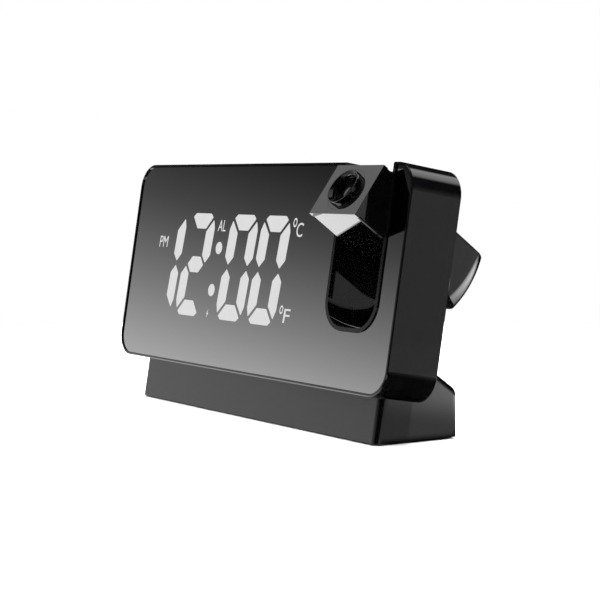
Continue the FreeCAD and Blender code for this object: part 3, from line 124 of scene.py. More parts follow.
@dataclass(frozen=True)
class Finish:
    """A surface finish that turns into one node material.

    Attributes:
        name: The material's name, after the real stuff.
        shade: The sRGB hex colour of the surface.
        variation: How far the colour wanders, as a share.
        mottle_mm: The size of that wandering, in millimetres.
        roughness: The middle roughness.
        smear: How much the roughness wanders.
        grain_mm: The size of the surface grain, in millimetres.
        grain_depth_mm: The depth of the grain, in millimetres.
        metallic: 1 for metal.
        ior: The index of refraction.
        smear_share: The size of the roughness's wandering, as a share of the mottle's.
    """

    name: str
    shade: str
    variation: float = 0.1
    mottle_mm: float = 30.0
    roughness: float = 0.4
    smear: float = 0.05
    grain_mm: float = 0.5
    grain_depth_mm: float = 0.002
    metallic: float = 0.0
    ior: float = 1.5
    smear_share: float = 0.4

    def shader(self, tree: bpy.types.NodeTree) -> bpy.types.Node:
        """Builds the shader: a mottled colour, smeared roughness and a fine grain.

        Args:
            tree: The material's node tree.

        Returns:
            The principled node.
        """
        place = add_node(tree, "TexCoord").outputs["Object"]
        scale = MM_PER_METRE / self.mottle_mm
        mottle = add_node(tree, "TexNoise", Vector=place, Scale=scale, Detail=3.0)
        base = tone(self.shade)
        low = tuple(c * (1 - self.variation) for c in base[:3]) + (1.0,)
        high = tuple(min(1.0, c * (1 + self.variation)) for c in base[:3]) + (1.0,)
        colour = ramp(tree, mottle.outputs["Fac"], [(NOISE_LOW, low), (NOISE_HIGH, high)])
        scale = MM_PER_METRE / (self.smear_share * self.mottle_mm)
        wipe = add_node(tree, "TexNoise", Vector=place, Scale=scale, Detail=5.0)
        rough = add_node(
            tree, "MapRange", Value=wipe.outputs["Fac"], From_Min=NOISE_LOW, From_Max=NOISE_HIGH,
            To_Min=max(0.0, self.roughness - self.smear), To_Max=self.roughness + self.smear,
        )
        scale = MM_PER_METRE / self.grain_mm
        grain = add_node(tree, "TexNoise", Vector=place, Scale=scale, Detail=2.0)
        depth = self.grain_depth_mm * MM
        bump = add_node(tree, "Bump", Height=grain.outputs["Fac"], Distance=depth, Strength=1.0)
        return add_node(
            tree, "BsdfPrincipled", Base_Color=colour, Roughness=rough.outputs["Result"],
            Normal=bump.outputs["Normal"], Metallic=self.metallic, IOR=self.ior,
        )

    def material(self) -> bpy.types.Material:
        """Makes the material, once for each finish.

        Returns:
            The material.
        """
        if self.name in bpy.data.materials:
            return bpy.data.materials[self.name]
        made = bpy.data.materials.new(self.name)
        made.use_nodes = True
        tree = made.node_tree
        tree.nodes.clear()
        add_node(tree, "OutputMaterial", Surface=self.shader(tree).outputs[0])
        return made


@dataclass(frozen=True)
class GlowFinish(Finish):
    """Diffuser film that is lit from behind: it shines by itself, a little unevenly.

    Attributes:
        strength: How brightly it shines.
        unlit: How light the film itself is.
    """

    strength: float = 1.0
    unlit: float = 0.02

    def shader(self, tree: bpy.types.NodeTree) -> bpy.types.Node:
        """Builds the glow with a faint unevenness.

        Args:
            tree: The material's node tree.

        Returns:
            The principled node.
        """
        node = super().shader(tree)
        to_base = node.inputs["Base Color"].links[0]
        tree.links.new(to_base.from_socket, node.inputs["Emission Color"])
        tree.links.remove(to_base)
        node.inputs["Base Color"].default_value = grey(self.unlit)
        node.inputs["Emission Strength"].default_value = self.strength
        return node


@dataclass(frozen=True)
class BoardFinish(Finish):
    """Solder mask over copper: tracks show as lighter lines in the green.

    Attributes:
        track_mm: The size of the track pattern, in millimetres.
        track_width: The width of a track, as the pattern's mortar size.
        greens: The sRGB hex colours of the bare board, in two shades, and of the tracks.
    """

    track_mm: float = 1.3
    track_width: float = 0.12
    greens: tuple[str, str, str] = ("0c4a26", "0e5230", "2f7a4a")

    def shader(self, tree: bpy.types.NodeTree) -> bpy.types.Node:
        """Adds rows of tracks to the mottled colour.

        Args:
            tree: The material's node tree.

        Returns:
            The principled node.
        """
        node = super().shader(tree)
        place = add_node(tree, "TexCoord").outputs["Object"]
        first, second, track = (tone(code) for code in self.greens)
        tracks = add_node(
            tree, "TexBrick", Vector=place, Scale=MM_PER_METRE / self.track_mm,
            Mortar_Size=self.track_width, Color1=first, Color2=second, Mortar=track,
        )
        tree.links.new(tracks.outputs["Color"], node.inputs["Base Color"])
        return node


class Look(Enum):
    """The finishes of the clock."""

    # moulded in a mirror-polished tool: near black, with sharp reflections
    PIANO_BLACK = Finish(
        "piano black ABS", "060607", 0.3, 25.0, 0.035, 0.015, 6.0, 0.0002, ior=1.46,
    )
    # moulded as the case is, but bends light more: sides that face the light look a shade lighter
    ARM_BLACK = Finish(
        "piano black polycarbonate", "060607", 0.3, 18.0, 0.03, 0.015, 4.0, 0.0002, ior=1.6,
    )
    # smoked film behind clear acrylic: an even mirror that gives back under a third of the light
    SMOKED_MIRROR = Finish(
        "smoked mirror acrylic", "959595", 0.012, 60.0, 0.02, 0.01, 30.0, 0.0001, 1.0,
    )
    # moulded against a spark-eroded tool: dark grey under a broad, dull sheen
    GRAINED_BLACK = Finish("grained black ABS", "141415", 0.12, 12.0, 0.5, 0.08, 0.35, 0.02)
    # moulded against a finely blasted tool: keys that are softer to the eye than the case
    SATIN_BLACK = Finish("satin black ABS", "0f0f10", 0.1, 8.0, 0.32, 0.06, 0.25, 0.006)
    # turned and polished: deeper black than the arm, with a thin, tight highlight on the rim
    RING_BLACK = Finish(
        "polished black ring", "040405", 0.2, 6.0, 0.05, 0.02, 1.2, 0.0006, ior=1.52,
    )
    # ground, polished and coated: almost black with a faint bluish gleam
    COATED_GLASS = Finish(
        "coated lens glass", "08090c", 0.3, 9.0, 0.06, 0.01, 12.0, 0.00005, ior=1.52,
    )
    # moulded white plastic: matt and even, the walls of the wells behind the mirror
    REFLECTOR_WHITE = Finish("reflector white", "dcdcd8", 0.04, 10.0, 0.45, 0.05, 0.4, 0.003)
    # moulded diffuser with no light behind it: flat mid grey
    DARK_DIFFUSER = Finish("unlit diffuser", "4a4a4a", 0.05, 6.0, 0.5, 0.05, 0.3, 0.002)
    # diffuser film with light behind it, seen through the mirror: an even, soft white
    LIT_WHITE = GlowFinish(
        "lit diffuser film", "e4e4e4", 0.015, 6.0, 0.5, 0.05, 0.3, 0.0005, strength=0.84,
    )
    # printed film over a chip of its own: brighter than the strokes, so that thin signs show
    SIGN_WHITE = GlowFinish(
        "lit sign film", "e0e0e0", 0.02, 3.0, 0.5, 0.05, 0.3, 0.0005, strength=0.9,
    )
    # printed lacquer over glass fibre: green with a slight gloss, crossed by lighter tracks
    BOARD_GREEN = BoardFinish("solder mask", "0c4a26", 0.1, 6.0, 0.35, 0.08, 0.6, 0.004)
    # cast silicone with phosphor: small waxy yellow faces
    PHOSPHOR = Finish("light chip phosphor", "d9c766", 0.1, 0.8, 0.4, 0.05, 0.1, 0.002)
    # moulded nylon: plain dark grey
    SWITCH_BLACK = Finish("switch body", "1a1a1a", 0.1, 3.0, 0.45, 0.06, 0.2, 0.003)
    # pressed and zinc plated: pale metal with a cloudy shine
    PLATED_STEEL = Finish("zinc plated steel", "a9abad", 0.12, 3.0, 0.28, 0.08, 0.15, 0.002, 1.0)
    # plated with gold: warm glints on small strips
    CONTACT_GOLD = Finish("gilded contact", "caa24a", 0.1, 1.0, 0.22, 0.05, 0.1, 0.001, 1.0)
    # moulded without a dye: milky white, a little waxy
    NYLON = Finish("natural nylon", "c9c6ba", 0.05, 5.0, 0.42, 0.06, 0.4, 0.003)
    # pressed from paper pulp: rough and without any shine
    CONE_BLACK = Finish("pressed paper cone", "121212", 0.2, 1.2, 0.75, 0.08, 0.3, 0.02)
    # die-cut from soft sheet: dull black that takes no highlight
    PAD_RUBBER = Finish("soft pad rubber", "101011", 0.2, 2.5, 0.8, 0.08, 0.4, 0.02)
    # printed glass: dark, with a clear gleam
    SLIDE_GLASS = Finish("picture slide", "2c3438", 0.1, 4.0, 0.08, 0.03, 2.0, 0.0005)
    # painted shade: near-black crosses laid flat on the screw heads, standing in for the shaded insides of
    # their cross recesses
    PAINTED_RECESS_SHADE = Finish("painted screw recess shade", "040404", 0.2, 1.0, 0.6, 0.1, 0.2, 0.003)
    # pad-printed ink: flat grey that reads on the black keys
    KEY_GREY = Finish("pad-printed mark", "8f9092", 0.06, 1.0, 0.5, 0.06, 0.15, 0.001)

    def dress(self, *things: bpy.types.Object) -> None:
        """Gives the finish to every slot of the objects."""
        for thing in things:
            if not thing.data.materials:
                thing.data.materials.append(self.value.material())
            for slot in thing.material_slots:
                slot.material = self.value.material()


@dataclass(frozen=True)
class Layout:
    """The clock's frames and main sizes, in millimetres and degrees.

    Attributes:
        lean: How far the case leans back.
        rest_angle: How far the arm at rest is turned up from lying in line with the case.
        case_back: The Y of the case frame's origin.
        case_up: The Z of the case frame's origin.
        axle: The middle of the arm's axle.
        body_depth: The case's depth.
        panel_front: How far the mirror's front lies behind the case's front.
        arm_reach: From the axle to the front of the arm's face plate.
        slant: How far digits and signs lean to the right.
        lit_rise: How far lit forms stand out of the mirror's front, so that they show.
    """

    lean: float = 9.2
    rest_angle: float = 26.9
    case_back: float = -26.2877
    case_up: float = 17.6
    axle: tuple[float, float, float] = (68.8, -6.2124, 74.6239)
    body_depth: float = 21.4
    panel_front: float = 0.5
    arm_reach: float = 21.2
    slant: float = 4.7
    lit_rise: float = 0.02

    def case(self) -> Matrix:
        """From the case frame to the clock's, in metres."""
        move = Matrix.Translation(Vector((0.0, self.case_back, self.case_up)) * MM)
        return move @ Matrix.Rotation(math.radians(-self.lean), 4, "X")

    def arm(self) -> Matrix:
        """From the arm frame to the clock's, in metres."""
        turn = Matrix.Rotation(math.radians(-self.lean - self.rest_angle), 4, "X")
        return Matrix.Translation(Vector(self.axle) * MM) @ turn


LAYOUT = Layout()
# how many steps round off a flat polygon's corner
CORNER_STEPS = 3


def finish_mesh(name: str, shape: bmesh.types.BMesh, into: Matrix, body: str, look: Look) -> bpy.types.Object:
    """Turns a shape in millimetres into a piece that rides on a body.

    Args:
        name: The piece's name.
        shape: The shape, in millimetres, in one of the clock's frames. It is freed.
        into: The matrix from that frame to the clock's.
        body: The body that carries the piece.
        look: Its finish.

    Returns:
        The piece.
    """
    bmesh.ops.scale(shape, vec=(MM, MM, MM), verts=shape.verts)
    bmesh.ops.transform(shape, matrix=into, verts=shape.verts)
    bmesh.ops.recalc_face_normals(shape, faces=shape.faces)
    mesh = bpy.data.meshes.new(name)
    shape.to_mesh(mesh)
    shape.free()
    piece = bpy.data.objects.new(name, mesh)
    bpy.context.scene.collection.objects.link(piece)
    look.dress(piece)
    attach(piece, body)
    log.info("piece %s: %d faces on %s", name, len(mesh.polygons), body)
    return piece


def thicken(shape: bmesh.types.BMesh, depth: float) -> None:
    """Gives flat faces in the case's XZ plane a depth towards the viewer.

    Args:
        shape: The flat faces, at their back plane.
        depth: How far they rise towards -Y.
    """
    flat = list(shape.faces)
    raised = bmesh.ops.extrude_face_region(shape, geom=flat, use_keep_orig=True)
    tops = [item for item in raised["geom"] if isinstance(item, bmesh.types.BMVert)]
    bmesh.ops.translate(shape, vec=(0.0, -depth, 0.0), verts=tops)


def polygon(shape: bmesh.types.BMesh, corners: list[tuple[float, float]], back: float,
            corner_radius: float = 0.0) -> None:
    """Adds a flat polygon in the XZ plane, its corners rounded a little.

    Args:
        shape: The shape that it goes into.
        corners: Its corners as (across, up).
        back: The Y of its plane.
        corner_radius: The size of the corner rounding.
    """
    face = shape.faces.new([shape.verts.new((across, back, up)) for across, up in corners])
    if corner_radius:
        bmesh.ops.bevel(
            shape, geom=list(face.verts), offset=corner_radius, segments=CORNER_STEPS, profile=0.5,
            affect="VERTICES", material=-1, offset_type="OFFSET",
        )


@dataclass
class LitDisplay:
    """The time that shows through the mirror: the lit strokes of four digits, and the colon.

    Attributes:
        half_width: Half a digit's width.
        half_height: Half a digit's height.
        stroke: A stroke's width.
        corner: The rounding of a stroke's corners.
        middle_up: The height of the digits' middle.
        pitch: From one digit to the next on either side of the colon.
        middle: Where the colon stands across the case.
        colon_side: From the colon to the digits beside it.
        colon_radius: The radius of a colon dot.
        colon_spread: The distance of the colon dots.
        colon_drop: How far the colon's middle lies below the digits'.
        colon_steps: How many steps a colon dot's rim has.
        shown: The letters of the lit strokes of each digit.
    """

    half_width: float = 10.1
    half_height: float = 20.5
    stroke: float = 6.1
    corner: float = 0.35
    middle_up: float = 39.8
    pitch: float = 22.5
    middle: float = -25.5
    colon_side: float = 15.9
    colon_radius: float = 2.4
    colon_spread: float = 16.6
    colon_drop: float = 1.2
    colon_steps: int = 40
    shown: tuple[str, ...] = ("bc", "abged", "abcdef", "abcdef")

    def strokes(self) -> dict[str, list[tuple[float, float]]]:
        """The seven strokes of a digit about its middle, their cuts in shares of a stroke's width.

        Returns:
            The corners of each stroke by its usual letter.
        """
        w, h, s = self.half_width, self.half_height, self.stroke
        inner = w - s
        cap = [(0.7 * s - w, h), (w - 0.7 * s, h), (w - 0.4 * s, h - 0.24 * s),
               (inner - 0.11 * s, h - s), (0.11 * s - inner, h - s), (0.4 * s - w, h - 0.24 * s)]
        side = [(w - 0.24 * s, h - 0.41 * s), (w, h - 0.95 * s), (w, 0.65 * s),
                (w - 0.5 * s, 0.14 * s), (inner, 0.63 * s), (inner, h - 1.18 * s)]
        bar = [(0.15 * s - inner, 0.52 * s), (inner - 0.15 * s, 0.52 * s), (w - 0.66 * s, 0),
               (inner - 0.15 * s, -0.52 * s), (0.15 * s - inner, -0.52 * s), (0.66 * s - w, 0)]
        return {
            "a": cap, "b": side, "c": [(x, -z) for x, z in side], "d": [(x, -z) for x, z in cap],
            "e": [(-x, -z) for x, z in side], "f": [(-x, z) for x, z in side], "g": bar,
        }

    def middles(self) -> list[float]:
        """Where the four digits stand across the case."""
        outer = self.colon_side + self.pitch
        return [self.middle + side for side in (-outer, -self.colon_side, self.colon_side, outer)]

    def leaned(self, across: float, up: float) -> tuple[float, float]:
        """A place in the display with the digits' slant, from the display's middle height."""
        return (across + up * math.tan(math.radians(LAYOUT.slant)), self.middle_up + up)

    def build_time(self) -> bpy.types.Object:
        """Builds the lit strokes and the colon.

        Returns:
            The piece.
        """
        shape = bmesh.new()
        drawn = self.strokes()
        for middle, shown in zip(self.middles(), self.shown):
            for letter in shown:
                corners = [self.leaned(middle + x, z) for x, z in drawn[letter]]
                polygon(shape, corners, LAYOUT.panel_front, self.corner)
        for side in (-1, 1):
            across, up = self.leaned(self.middle, side * self.colon_spread / 2 - self.colon_drop)
            dot = bmesh.ops.create_circle(
                shape, cap_ends=True, radius=self.colon_radius, segments=self.colon_steps,
            )["verts"]
            bmesh.ops.rotate(shape, verts=dot, matrix=Matrix.Rotation(math.pi / 2, 3, "X"))
            bmesh.ops.translate(shape, verts=dot, vec=(across, LAYOUT.panel_front, up))
        thicken(shape, LAYOUT.lit_rise)
        return finish_mesh("lit_time", shape, LAYOUT.case(), "clock_case", Look.LIT_WHITE)


@dataclass
class Sign:
    """A small sign beside the digits: letters, some with a degree ring.

    Attributes:
        name: The piece's name.
        letters: The letters.
        middle: Their middle as (across, up).
        height: Their height.
        width: Their width.
        ring: The degree ring's middle, from the letters', and its radius.
        ring_hole: The radius of the ring's hole, as a share of the ring's.
        ring_stretch: How far the ring is stretched across and up.
        ring_steps: How many steps the ring's rims have.
        merge: Vertices that are closer than this become one.
    """

    name: str
    letters: str
    middle: tuple[float, float]
    height: float
    width: float
    ring: tuple[float, float, float] | None = None
    ring_hole: float = 0.62
    ring_stretch: tuple[float, float] = (0.82, 1.15)
    ring_steps: int = 32
    merge: float = 1e-5

    def build(self) -> bpy.types.Object:
        """Builds the sign as thin lit strokes on the panel.

        Returns:
            The piece.
        """
        curve = bpy.data.curves.new(self.name + "_letters", "FONT")
        curve.body = self.letters
        holder = bpy.data.objects.new(self.name + "_letters", curve)
        flat = bpy.data.meshes.new_from_object(holder)
        bpy.data.objects.remove(holder)
        shape = bmesh.new()
        shape.from_mesh(flat)
        bpy.data.meshes.remove(flat)
        bmesh.ops.remove_doubles(shape, verts=shape.verts, dist=self.merge)
        xs = [v.co.x for v in shape.verts]
        ys = [v.co.y for v in shape.verts]
        low = Vector((min(xs), min(ys), 0.0))
        spread = Vector((max(xs) - min(xs), max(ys) - min(ys), 0.0))
        size = (self.width / spread.x, self.height / spread.y, 1.0)
        bmesh.ops.translate(shape, vec=-low - spread / 2, verts=shape.verts)
        bmesh.ops.scale(shape, vec=size, verts=shape.verts)
        if self.ring:
            self.add_ring(shape)
        stand = Matrix.Rotation(math.pi / 2, 4, "X")
        bmesh.ops.transform(shape, matrix=stand, verts=shape.verts)
        for vert in shape.verts:
            vert.co.x += vert.co.z * math.tan(math.radians(LAYOUT.slant))
        move = (self.middle[0], LAYOUT.panel_front, self.middle[1])
        bmesh.ops.translate(shape, vec=move, verts=shape.verts)
        thicken(shape, LAYOUT.lit_rise)
        return finish_mesh(self.name, shape, LAYOUT.case(), "clock_case", Look.SIGN_WHITE)

    def add_ring(self, shape: bmesh.types.BMesh) -> None:
        """Adds the degree ring to the flat letters.

        Args:
            shape: The letters, flat in XY about their middle.
        """
        across, up, radius = self.ring
        moved = []
        for share in (1.0, self.ring_hole):
            moved += bmesh.ops.create_circle(
                shape, cap_ends=False, radius=share * radius, segments=self.ring_steps,
            )["verts"]
        edges = [edge for edge in shape.edges if not edge.link_faces]
        bmesh.ops.bridge_loops(shape, edges=edges)
        bmesh.ops.scale(shape, vec=(*self.ring_stretch, 1.0), verts=moved)
        bmesh.ops.translate(shape, vec=(across, up, 0.0), verts=moved)


@dataclass
class ChargeMark:
    """The small zigzag charge mark under the colon.

    Attributes:
        middle: Its middle as (across, up).
        zigzag: Its corners from there.
    """

    middle: tuple[float, float] = (-27.0, 21.0)
    zigzag: tuple[tuple[float, float], ...] = (
        (0.35, 1.75), (-0.75, -0.25), (-0.05, -0.15), (-0.45, -1.75), (0.8, 0.35), (0.05, 0.25),
    )

    def build(self) -> bpy.types.Object:
        """Builds the mark.

        Returns:
            The piece.
        """
        shape = bmesh.new()
        across, up = self.middle
        polygon(shape, [(across + x, up + z) for x, z in self.zigzag], LAYOUT.panel_front)
        thicken(shape, LAYOUT.lit_rise)
        case = LAYOUT.case()
        return finish_mesh("charge_mark", shape, case, "clock_case", Look.SIGN_WHITE)


@dataclass
class FocusRing:
    """The turned focus ring with its rounded rim, sloped front, baffle steps and flush collar.

    Attributes:
        front: The ring's section as (radius, depth behind the face plate's front), from the lens
            seat over the baffle steps and the rim to the outside and back to the lens seat.
        collar: The same for the flush collar that fills the plate's hole round the ring.
        steps: How many steps a turn has.
        merge: Vertices that are closer than this become one.
        sharp: Edges that bend by more degrees than this stay sharp.
    """

    front: tuple[tuple[float, float], ...] = (
        (4.0, 7.0), (4.0, 4.8), (5.0, 4.8), (5.0, 2.2), (5.25, 1.5), (5.05, 1.45), (5.05, 1.15),
        (5.3, 1.1), (5.3, 0.5), (5.1, 0.45), (5.1, 0.15), (5.35, 0.1), (5.3, -1.0), (5.38, -1.2),
        (5.52, -1.33), (6.34, -1.84), (6.42, -1.96), (6.46, -1.99), (6.9, -2.0), (6.95, -1.97),
        (6.98, -1.88),
        (7.2, 0.3), (8.3, 0.4), (8.3, 2.05), (8.8, 2.05), (8.8, 3.05), (8.3, 3.05), (8.3, 7.0),
    )
    collar: tuple[tuple[float, float], ...] = ((7.17, 0.0), (8.3, 0.0), (8.3, 0.39), (7.17, 0.3))
    steps: int = 120
    merge: float = 1e-4
    sharp: float = 38.0

    def turned(self, name: str, section: tuple[tuple[float, float], ...],
               look: Look) -> bpy.types.Object:
        """Turns a closed section round the arm's axis.

        Args:
            name: The piece's name.
            section: Its corners as (radius, depth).
            look: Its finish.

        Returns:
            The piece.
        """
        shape = bmesh.new()
        reach = LAYOUT.arm_reach
        corners = [shape.verts.new((radius, depth - reach, 0.0)) for radius, depth in section]
        for here, there in zip(corners, corners[1:] + corners[:1]):
            shape.edges.new((here, there))
        bmesh.ops.spin(
            shape, geom=list(shape.verts) + list(shape.edges), cent=(0, 0, 0), axis=(0, 1, 0),
            angle=math.tau, steps=self.steps, use_merge=True, use_duplicate=False,
        )
        bmesh.ops.remove_doubles(shape, verts=shape.verts, dist=self.merge)
        piece = finish_mesh(name, shape, LAYOUT.arm(), "focus", look)
        piece.data.shade_smooth()
        piece.data.set_sharp_from_angle(angle=math.radians(self.sharp))
        return piece

    def build(self) -> None:
        """Builds the ring, which stands for the plain turned one, and its collar."""
        ring = self.turned("focus_ring_detailed", self.front, Look.RING_BLACK)
        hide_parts("focus_ring")
        self.turned("focus_ring_collar", self.collar, Look.ARM_BLACK)


@dataclass
class Fasteners:
    """Painted shade of the cross recesses in the screw heads of the cover and the base plate: thin, flat
    black crosses on the heads.

    Attributes:
        arm: How far a painted cross reaches from its middle.
        width: The width of its bars.
        rise: How thick it is.
        turned: How far it is turned, in radians.
        base_head: The radius of the base plate's screw heads.
        cover_places: The middles of the cover's screws, as (across, up) in the case.
    """

    arm: float = 1.5
    width: float = 0.5
    rise: float = 0.02
    turned: float = 0.6
    base_head: float = 2.4
    cover_places: tuple[tuple[float, float], ...] = (
        (-89.1, 6.6), (89.1, 6.6), (-89.1, 73.4), (48.8, 73.4),
    )

    def cross(self, shape: bmesh.types.BMesh, place: Vector, upright: bool) -> None:
        """Adds one cross to a shape.

        Args:
            shape: The shape that it goes into.
            place: Its middle.
            upright: Whether it lies in the XZ plane; otherwise in the XY plane.
        """
        axis, thin = ("Y", (self.rise, self.width)) if upright else ("Z", (self.width, self.rise))
        for turn in (self.turned, self.turned + math.pi / 2):
            bar = bmesh.ops.create_cube(shape, size=1.0)["verts"]
            bmesh.ops.scale(shape, vec=(2 * self.arm, *thin), verts=bar)
            bmesh.ops.rotate(shape, verts=bar, matrix=Matrix.Rotation(turn, 3, axis))
            bmesh.ops.translate(shape, verts=bar, vec=place)

    def build(self) -> None:
        """Builds the painted shade of the recesses of the cover's and the base plate's screws."""
        shape = bmesh.new()
        for across, up in self.cover_places:
            self.cross(shape, Vector((across, LAYOUT.body_depth, up)), True)
        # flat black crosses: painted shade standing in for the dark insides of the cover screws' recesses
        case, whole, look = LAYOUT.case(), Matrix.Identity(4), Look.PAINTED_RECESS_SHADE
        finish_mesh("cover_screw_recess_shade", shape, case, "clock_case", look)
        # the base plate's screws get the same painted recess shade
        low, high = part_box("base_screws")
        radius = self.base_head * MM
        shape = bmesh.new()
        for across in (low.x + radius, high.x - radius):
            for back in (low.y + radius, high.y - radius):
                self.cross(shape, Vector((across, back, low.z)) / MM, False)
        finish_mesh("base_screw_recess_shade", shape, whole, "clock_case", look)


@dataclass(frozen=True)
class Bar:
    """A flat bar of a key's mark.

    Attributes:
        wide: Its size across.
        high: Its size upwards.
        across: Its middle across, from the key's.
        up: Its middle upwards, from the key's.
    """

    wide: float
    high: float
    across: float = 0.0
    up: float = 0.0


@dataclass
class KeyMarks:
    """Small generic marks on the keys of the back: a dot, a plus, a minus, then plain strokes.

    Attributes:
        row_left: The middle of the leftmost key across the case, seen from the front.
        row_up: The height of the keys' middles.
        pitch: From one key to the next.
        face: The depth of the marks' middle, at the keys' faces.
        rise: How thick the marks are.
        dot_radius: The radius of the dot.
        dot_steps: How many steps its rim has.
        marks: The keys from the left with the bars of their marks; a key without bars has the dot.
    """

    row_left: float = -74.0
    row_up: float = 66.0
    pitch: float = 14.0
    face: float = 22.6
    rise: float = 0.03
    dot_radius: float = 1.0
    dot_steps: int = 20
    marks: tuple[tuple[str, tuple[Bar, ...]], ...] = (
        ("button_mode", ()),
        ("button_up", (Bar(2.8, 0.5), Bar(0.5, 2.8))),
        ("button_down", (Bar(2.8, 0.5),)),
        ("button_first_alarm", (Bar(0.5, 2.6),)),
        ("button_second_alarm", (Bar(0.5, 2.6, across=-0.6), Bar(0.5, 2.6, across=0.6))),
        ("button_flip", (Bar(2.6, 0.5, up=0.8), Bar(2.6, 0.5, up=-0.8))),
    )

    def add_bar(self, shape: bmesh.types.BMesh, across: float, bar: Bar) -> None:
        """Adds a flat bar on a key.

        Args:
            shape: The shape that it goes into.
            across: The key's middle across the case.
            bar: The bar.
        """
        verts = bmesh.ops.create_cube(shape, size=1.0)["verts"]
        bmesh.ops.scale(shape, vec=(bar.wide, self.rise, bar.high), verts=verts)
        place = (across + bar.across, self.face, self.row_up + bar.up)
        bmesh.ops.translate(shape, verts=verts, vec=place)

    def add_dot(self, shape: bmesh.types.BMesh, across: float) -> None:
        """Adds a flat dot on a key.

        Args:
            shape: The shape that it goes into.
            across: The key's middle across the case.
        """
        verts = bmesh.ops.create_cone(
            shape, cap_ends=True, segments=self.dot_steps, radius1=self.dot_radius,
            radius2=self.dot_radius, depth=self.rise,
        )["verts"]
        bmesh.ops.rotate(shape, verts=verts, matrix=Matrix.Rotation(math.pi / 2, 3, "X"))
        bmesh.ops.translate(shape, verts=verts, vec=(across, self.face, self.row_up))

    def build(self) -> None:
        """Builds each key's mark on its own key."""
        for k, (key, bars) in enumerate(self.marks):
            across = self.row_left + k * self.pitch
            shape = bmesh.new()
            for bar in bars:
                self.add_bar(shape, across, bar)
            if not bars:
                self.add_dot(shape, across)
            finish_mesh(key + "_mark", shape, LAYOUT.case(), key, Look.KEY_GREY)


@dataclass
class SocketContacts:
    """Gilded strips on the tongue of the charging socket.

    Attributes:
        count: How many strips there are.
        pitch: From one strip to the next.
        strip: The size of a strip.
        tongue: The height of the tongue's underside, as a share of the socket's.
        inward: From the socket's back to the strips' middles.
        sunk: How far the strips' middles lie under the tongue's underside.
    """

    count: int = 4
    pitch: float = 2.0
    strip: tuple[float, float, float] = (1.0, 6.5, 0.08)
    tongue: float = 0.52
    inward: float = 5.5
    sunk: float = 0.02

    def build(self) -> None:
        """Builds the strips under the tongue."""
        low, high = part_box("usb_socket")
        middle = (low + high) / 2 / MM
        under = low.z / MM + self.tongue * (high.z - low.z) / MM
        shape = bmesh.new()
        for k in range(self.count):
            strip = bmesh.ops.create_cube(shape, size=1.0)["verts"]
            bmesh.ops.scale(shape, vec=self.strip, verts=strip)
            across = middle.x + (k - (self.count - 1) / 2) * self.pitch
            place = (across, high.y / MM - self.inward, under - self.sunk)
            bmesh.ops.translate(shape, verts=strip, vec=place)
        whole = Matrix.Identity(4)
        finish_mesh("socket_contacts", shape, whole, "clock_case", Look.CONTACT_GOLD)


NODE_LOOKS: dict[Look, tuple[str, ...]] = {
    Look.PIANO_BLACK: ("front_housing", "foot_front"),
    Look.ARM_BLACK: ("projector_arm", "projector_face", "foot_rear"),
    Look.SMOKED_MIRROR: ("mirror_panel",),
    Look.GRAINED_BLACK: ("back_cover", "base_plate", "optics_carrier", "battery_door"),
    Look.SATIN_BLACK: ("snooze_bar", "button_mode", "button_up", "button_down",
                       "button_first_alarm", "button_second_alarm", "button_flip"),
    Look.RING_BLACK: ("focus_ring",),
    Look.COATED_GLASS: ("projection_lens", "condenser_lens", "projection_lamp"),
    Look.REFLECTOR_WHITE: ("display_reflector",),
    Look.DARK_DIFFUSER: ("segments_dark",),
    Look.LIT_WHITE: ("segments_lit",),
    Look.BOARD_GREEN: ("display_board", "main_board", "power_board", "lamp_board"),
    Look.PHOSPHOR: ("display_light_chips",),
    Look.SWITCH_BLACK: ("button_switches", "snooze_switch"),
    Look.PLATED_STEEL: ("cover_screws", "base_screws", "power_socket", "usb_socket", "coin_cell",
                        "axle_clip"),
    Look.NYLON: ("washer_left", "washer_right", "axle_left", "axle_right", "cell_cup"),
    Look.CONE_BLACK: ("speaker",),
    Look.PAD_RUBBER: ("foot_pad_front_left", "foot_pad_front_right", "foot_pad_rear_left",
                      "foot_pad_rear_right"),
    Look.SLIDE_GLASS: ("picture_slide",),
}


def dress_nodes() -> None:
    """Gives every solid of the frame its finish."""
    for look, names in NODE_LOOKS.items():
        look.dress(*(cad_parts[name] for name in names))
        log.info("finish %s: %d solids", look.value.name, len(names))


@dataclass(frozen=True)
class Blob:
    """A soft patch of light on the studio's walls.

    Attributes:
        towards: The direction of its middle.
        inner: The angle in degrees within which it is full.
        outer: The angle in degrees beyond which it is gone.
        level: Its brightness.
    """

    towards: tuple[float, float, float]
    inner: float
    outer: float
    level: float


@dataclass(frozen=True)
class Sweep:
    """A wall that fades with height and towards its sides.

    Attributes:
        middle: The direction of its middle, with the angles to full and gone, at level 1.
        stops: Its brightness by elevation in degrees.
    """

    middle: Blob
    stops: tuple[tuple[float, float], ...]


@dataclass(frozen=True)
class Patch:
    """A soft patch of light on the floor that only the gloss picks up.

    Attributes:
        middle: Where it lies, in metres.
        reach: How far it reaches along X and Y, in metres.
        core: The share of the reach within which it is full.
        level: Its brightness.
        steepness: The lowest and highest angle in degrees at which it shows.
    """

    middle: tuple[float, float]
    reach: tuple[float, float]
    core: float
    level: float
    steepness: tuple[float, float] = (0.0, 90.0)

    def facing(self) -> tuple[float, float]:
        """The same two angles as the facing value of the floor, lowest value first."""
        low, high = (1 - math.sin(math.radians(angle)) for angle in reversed(self.steepness))
        return (low, high)


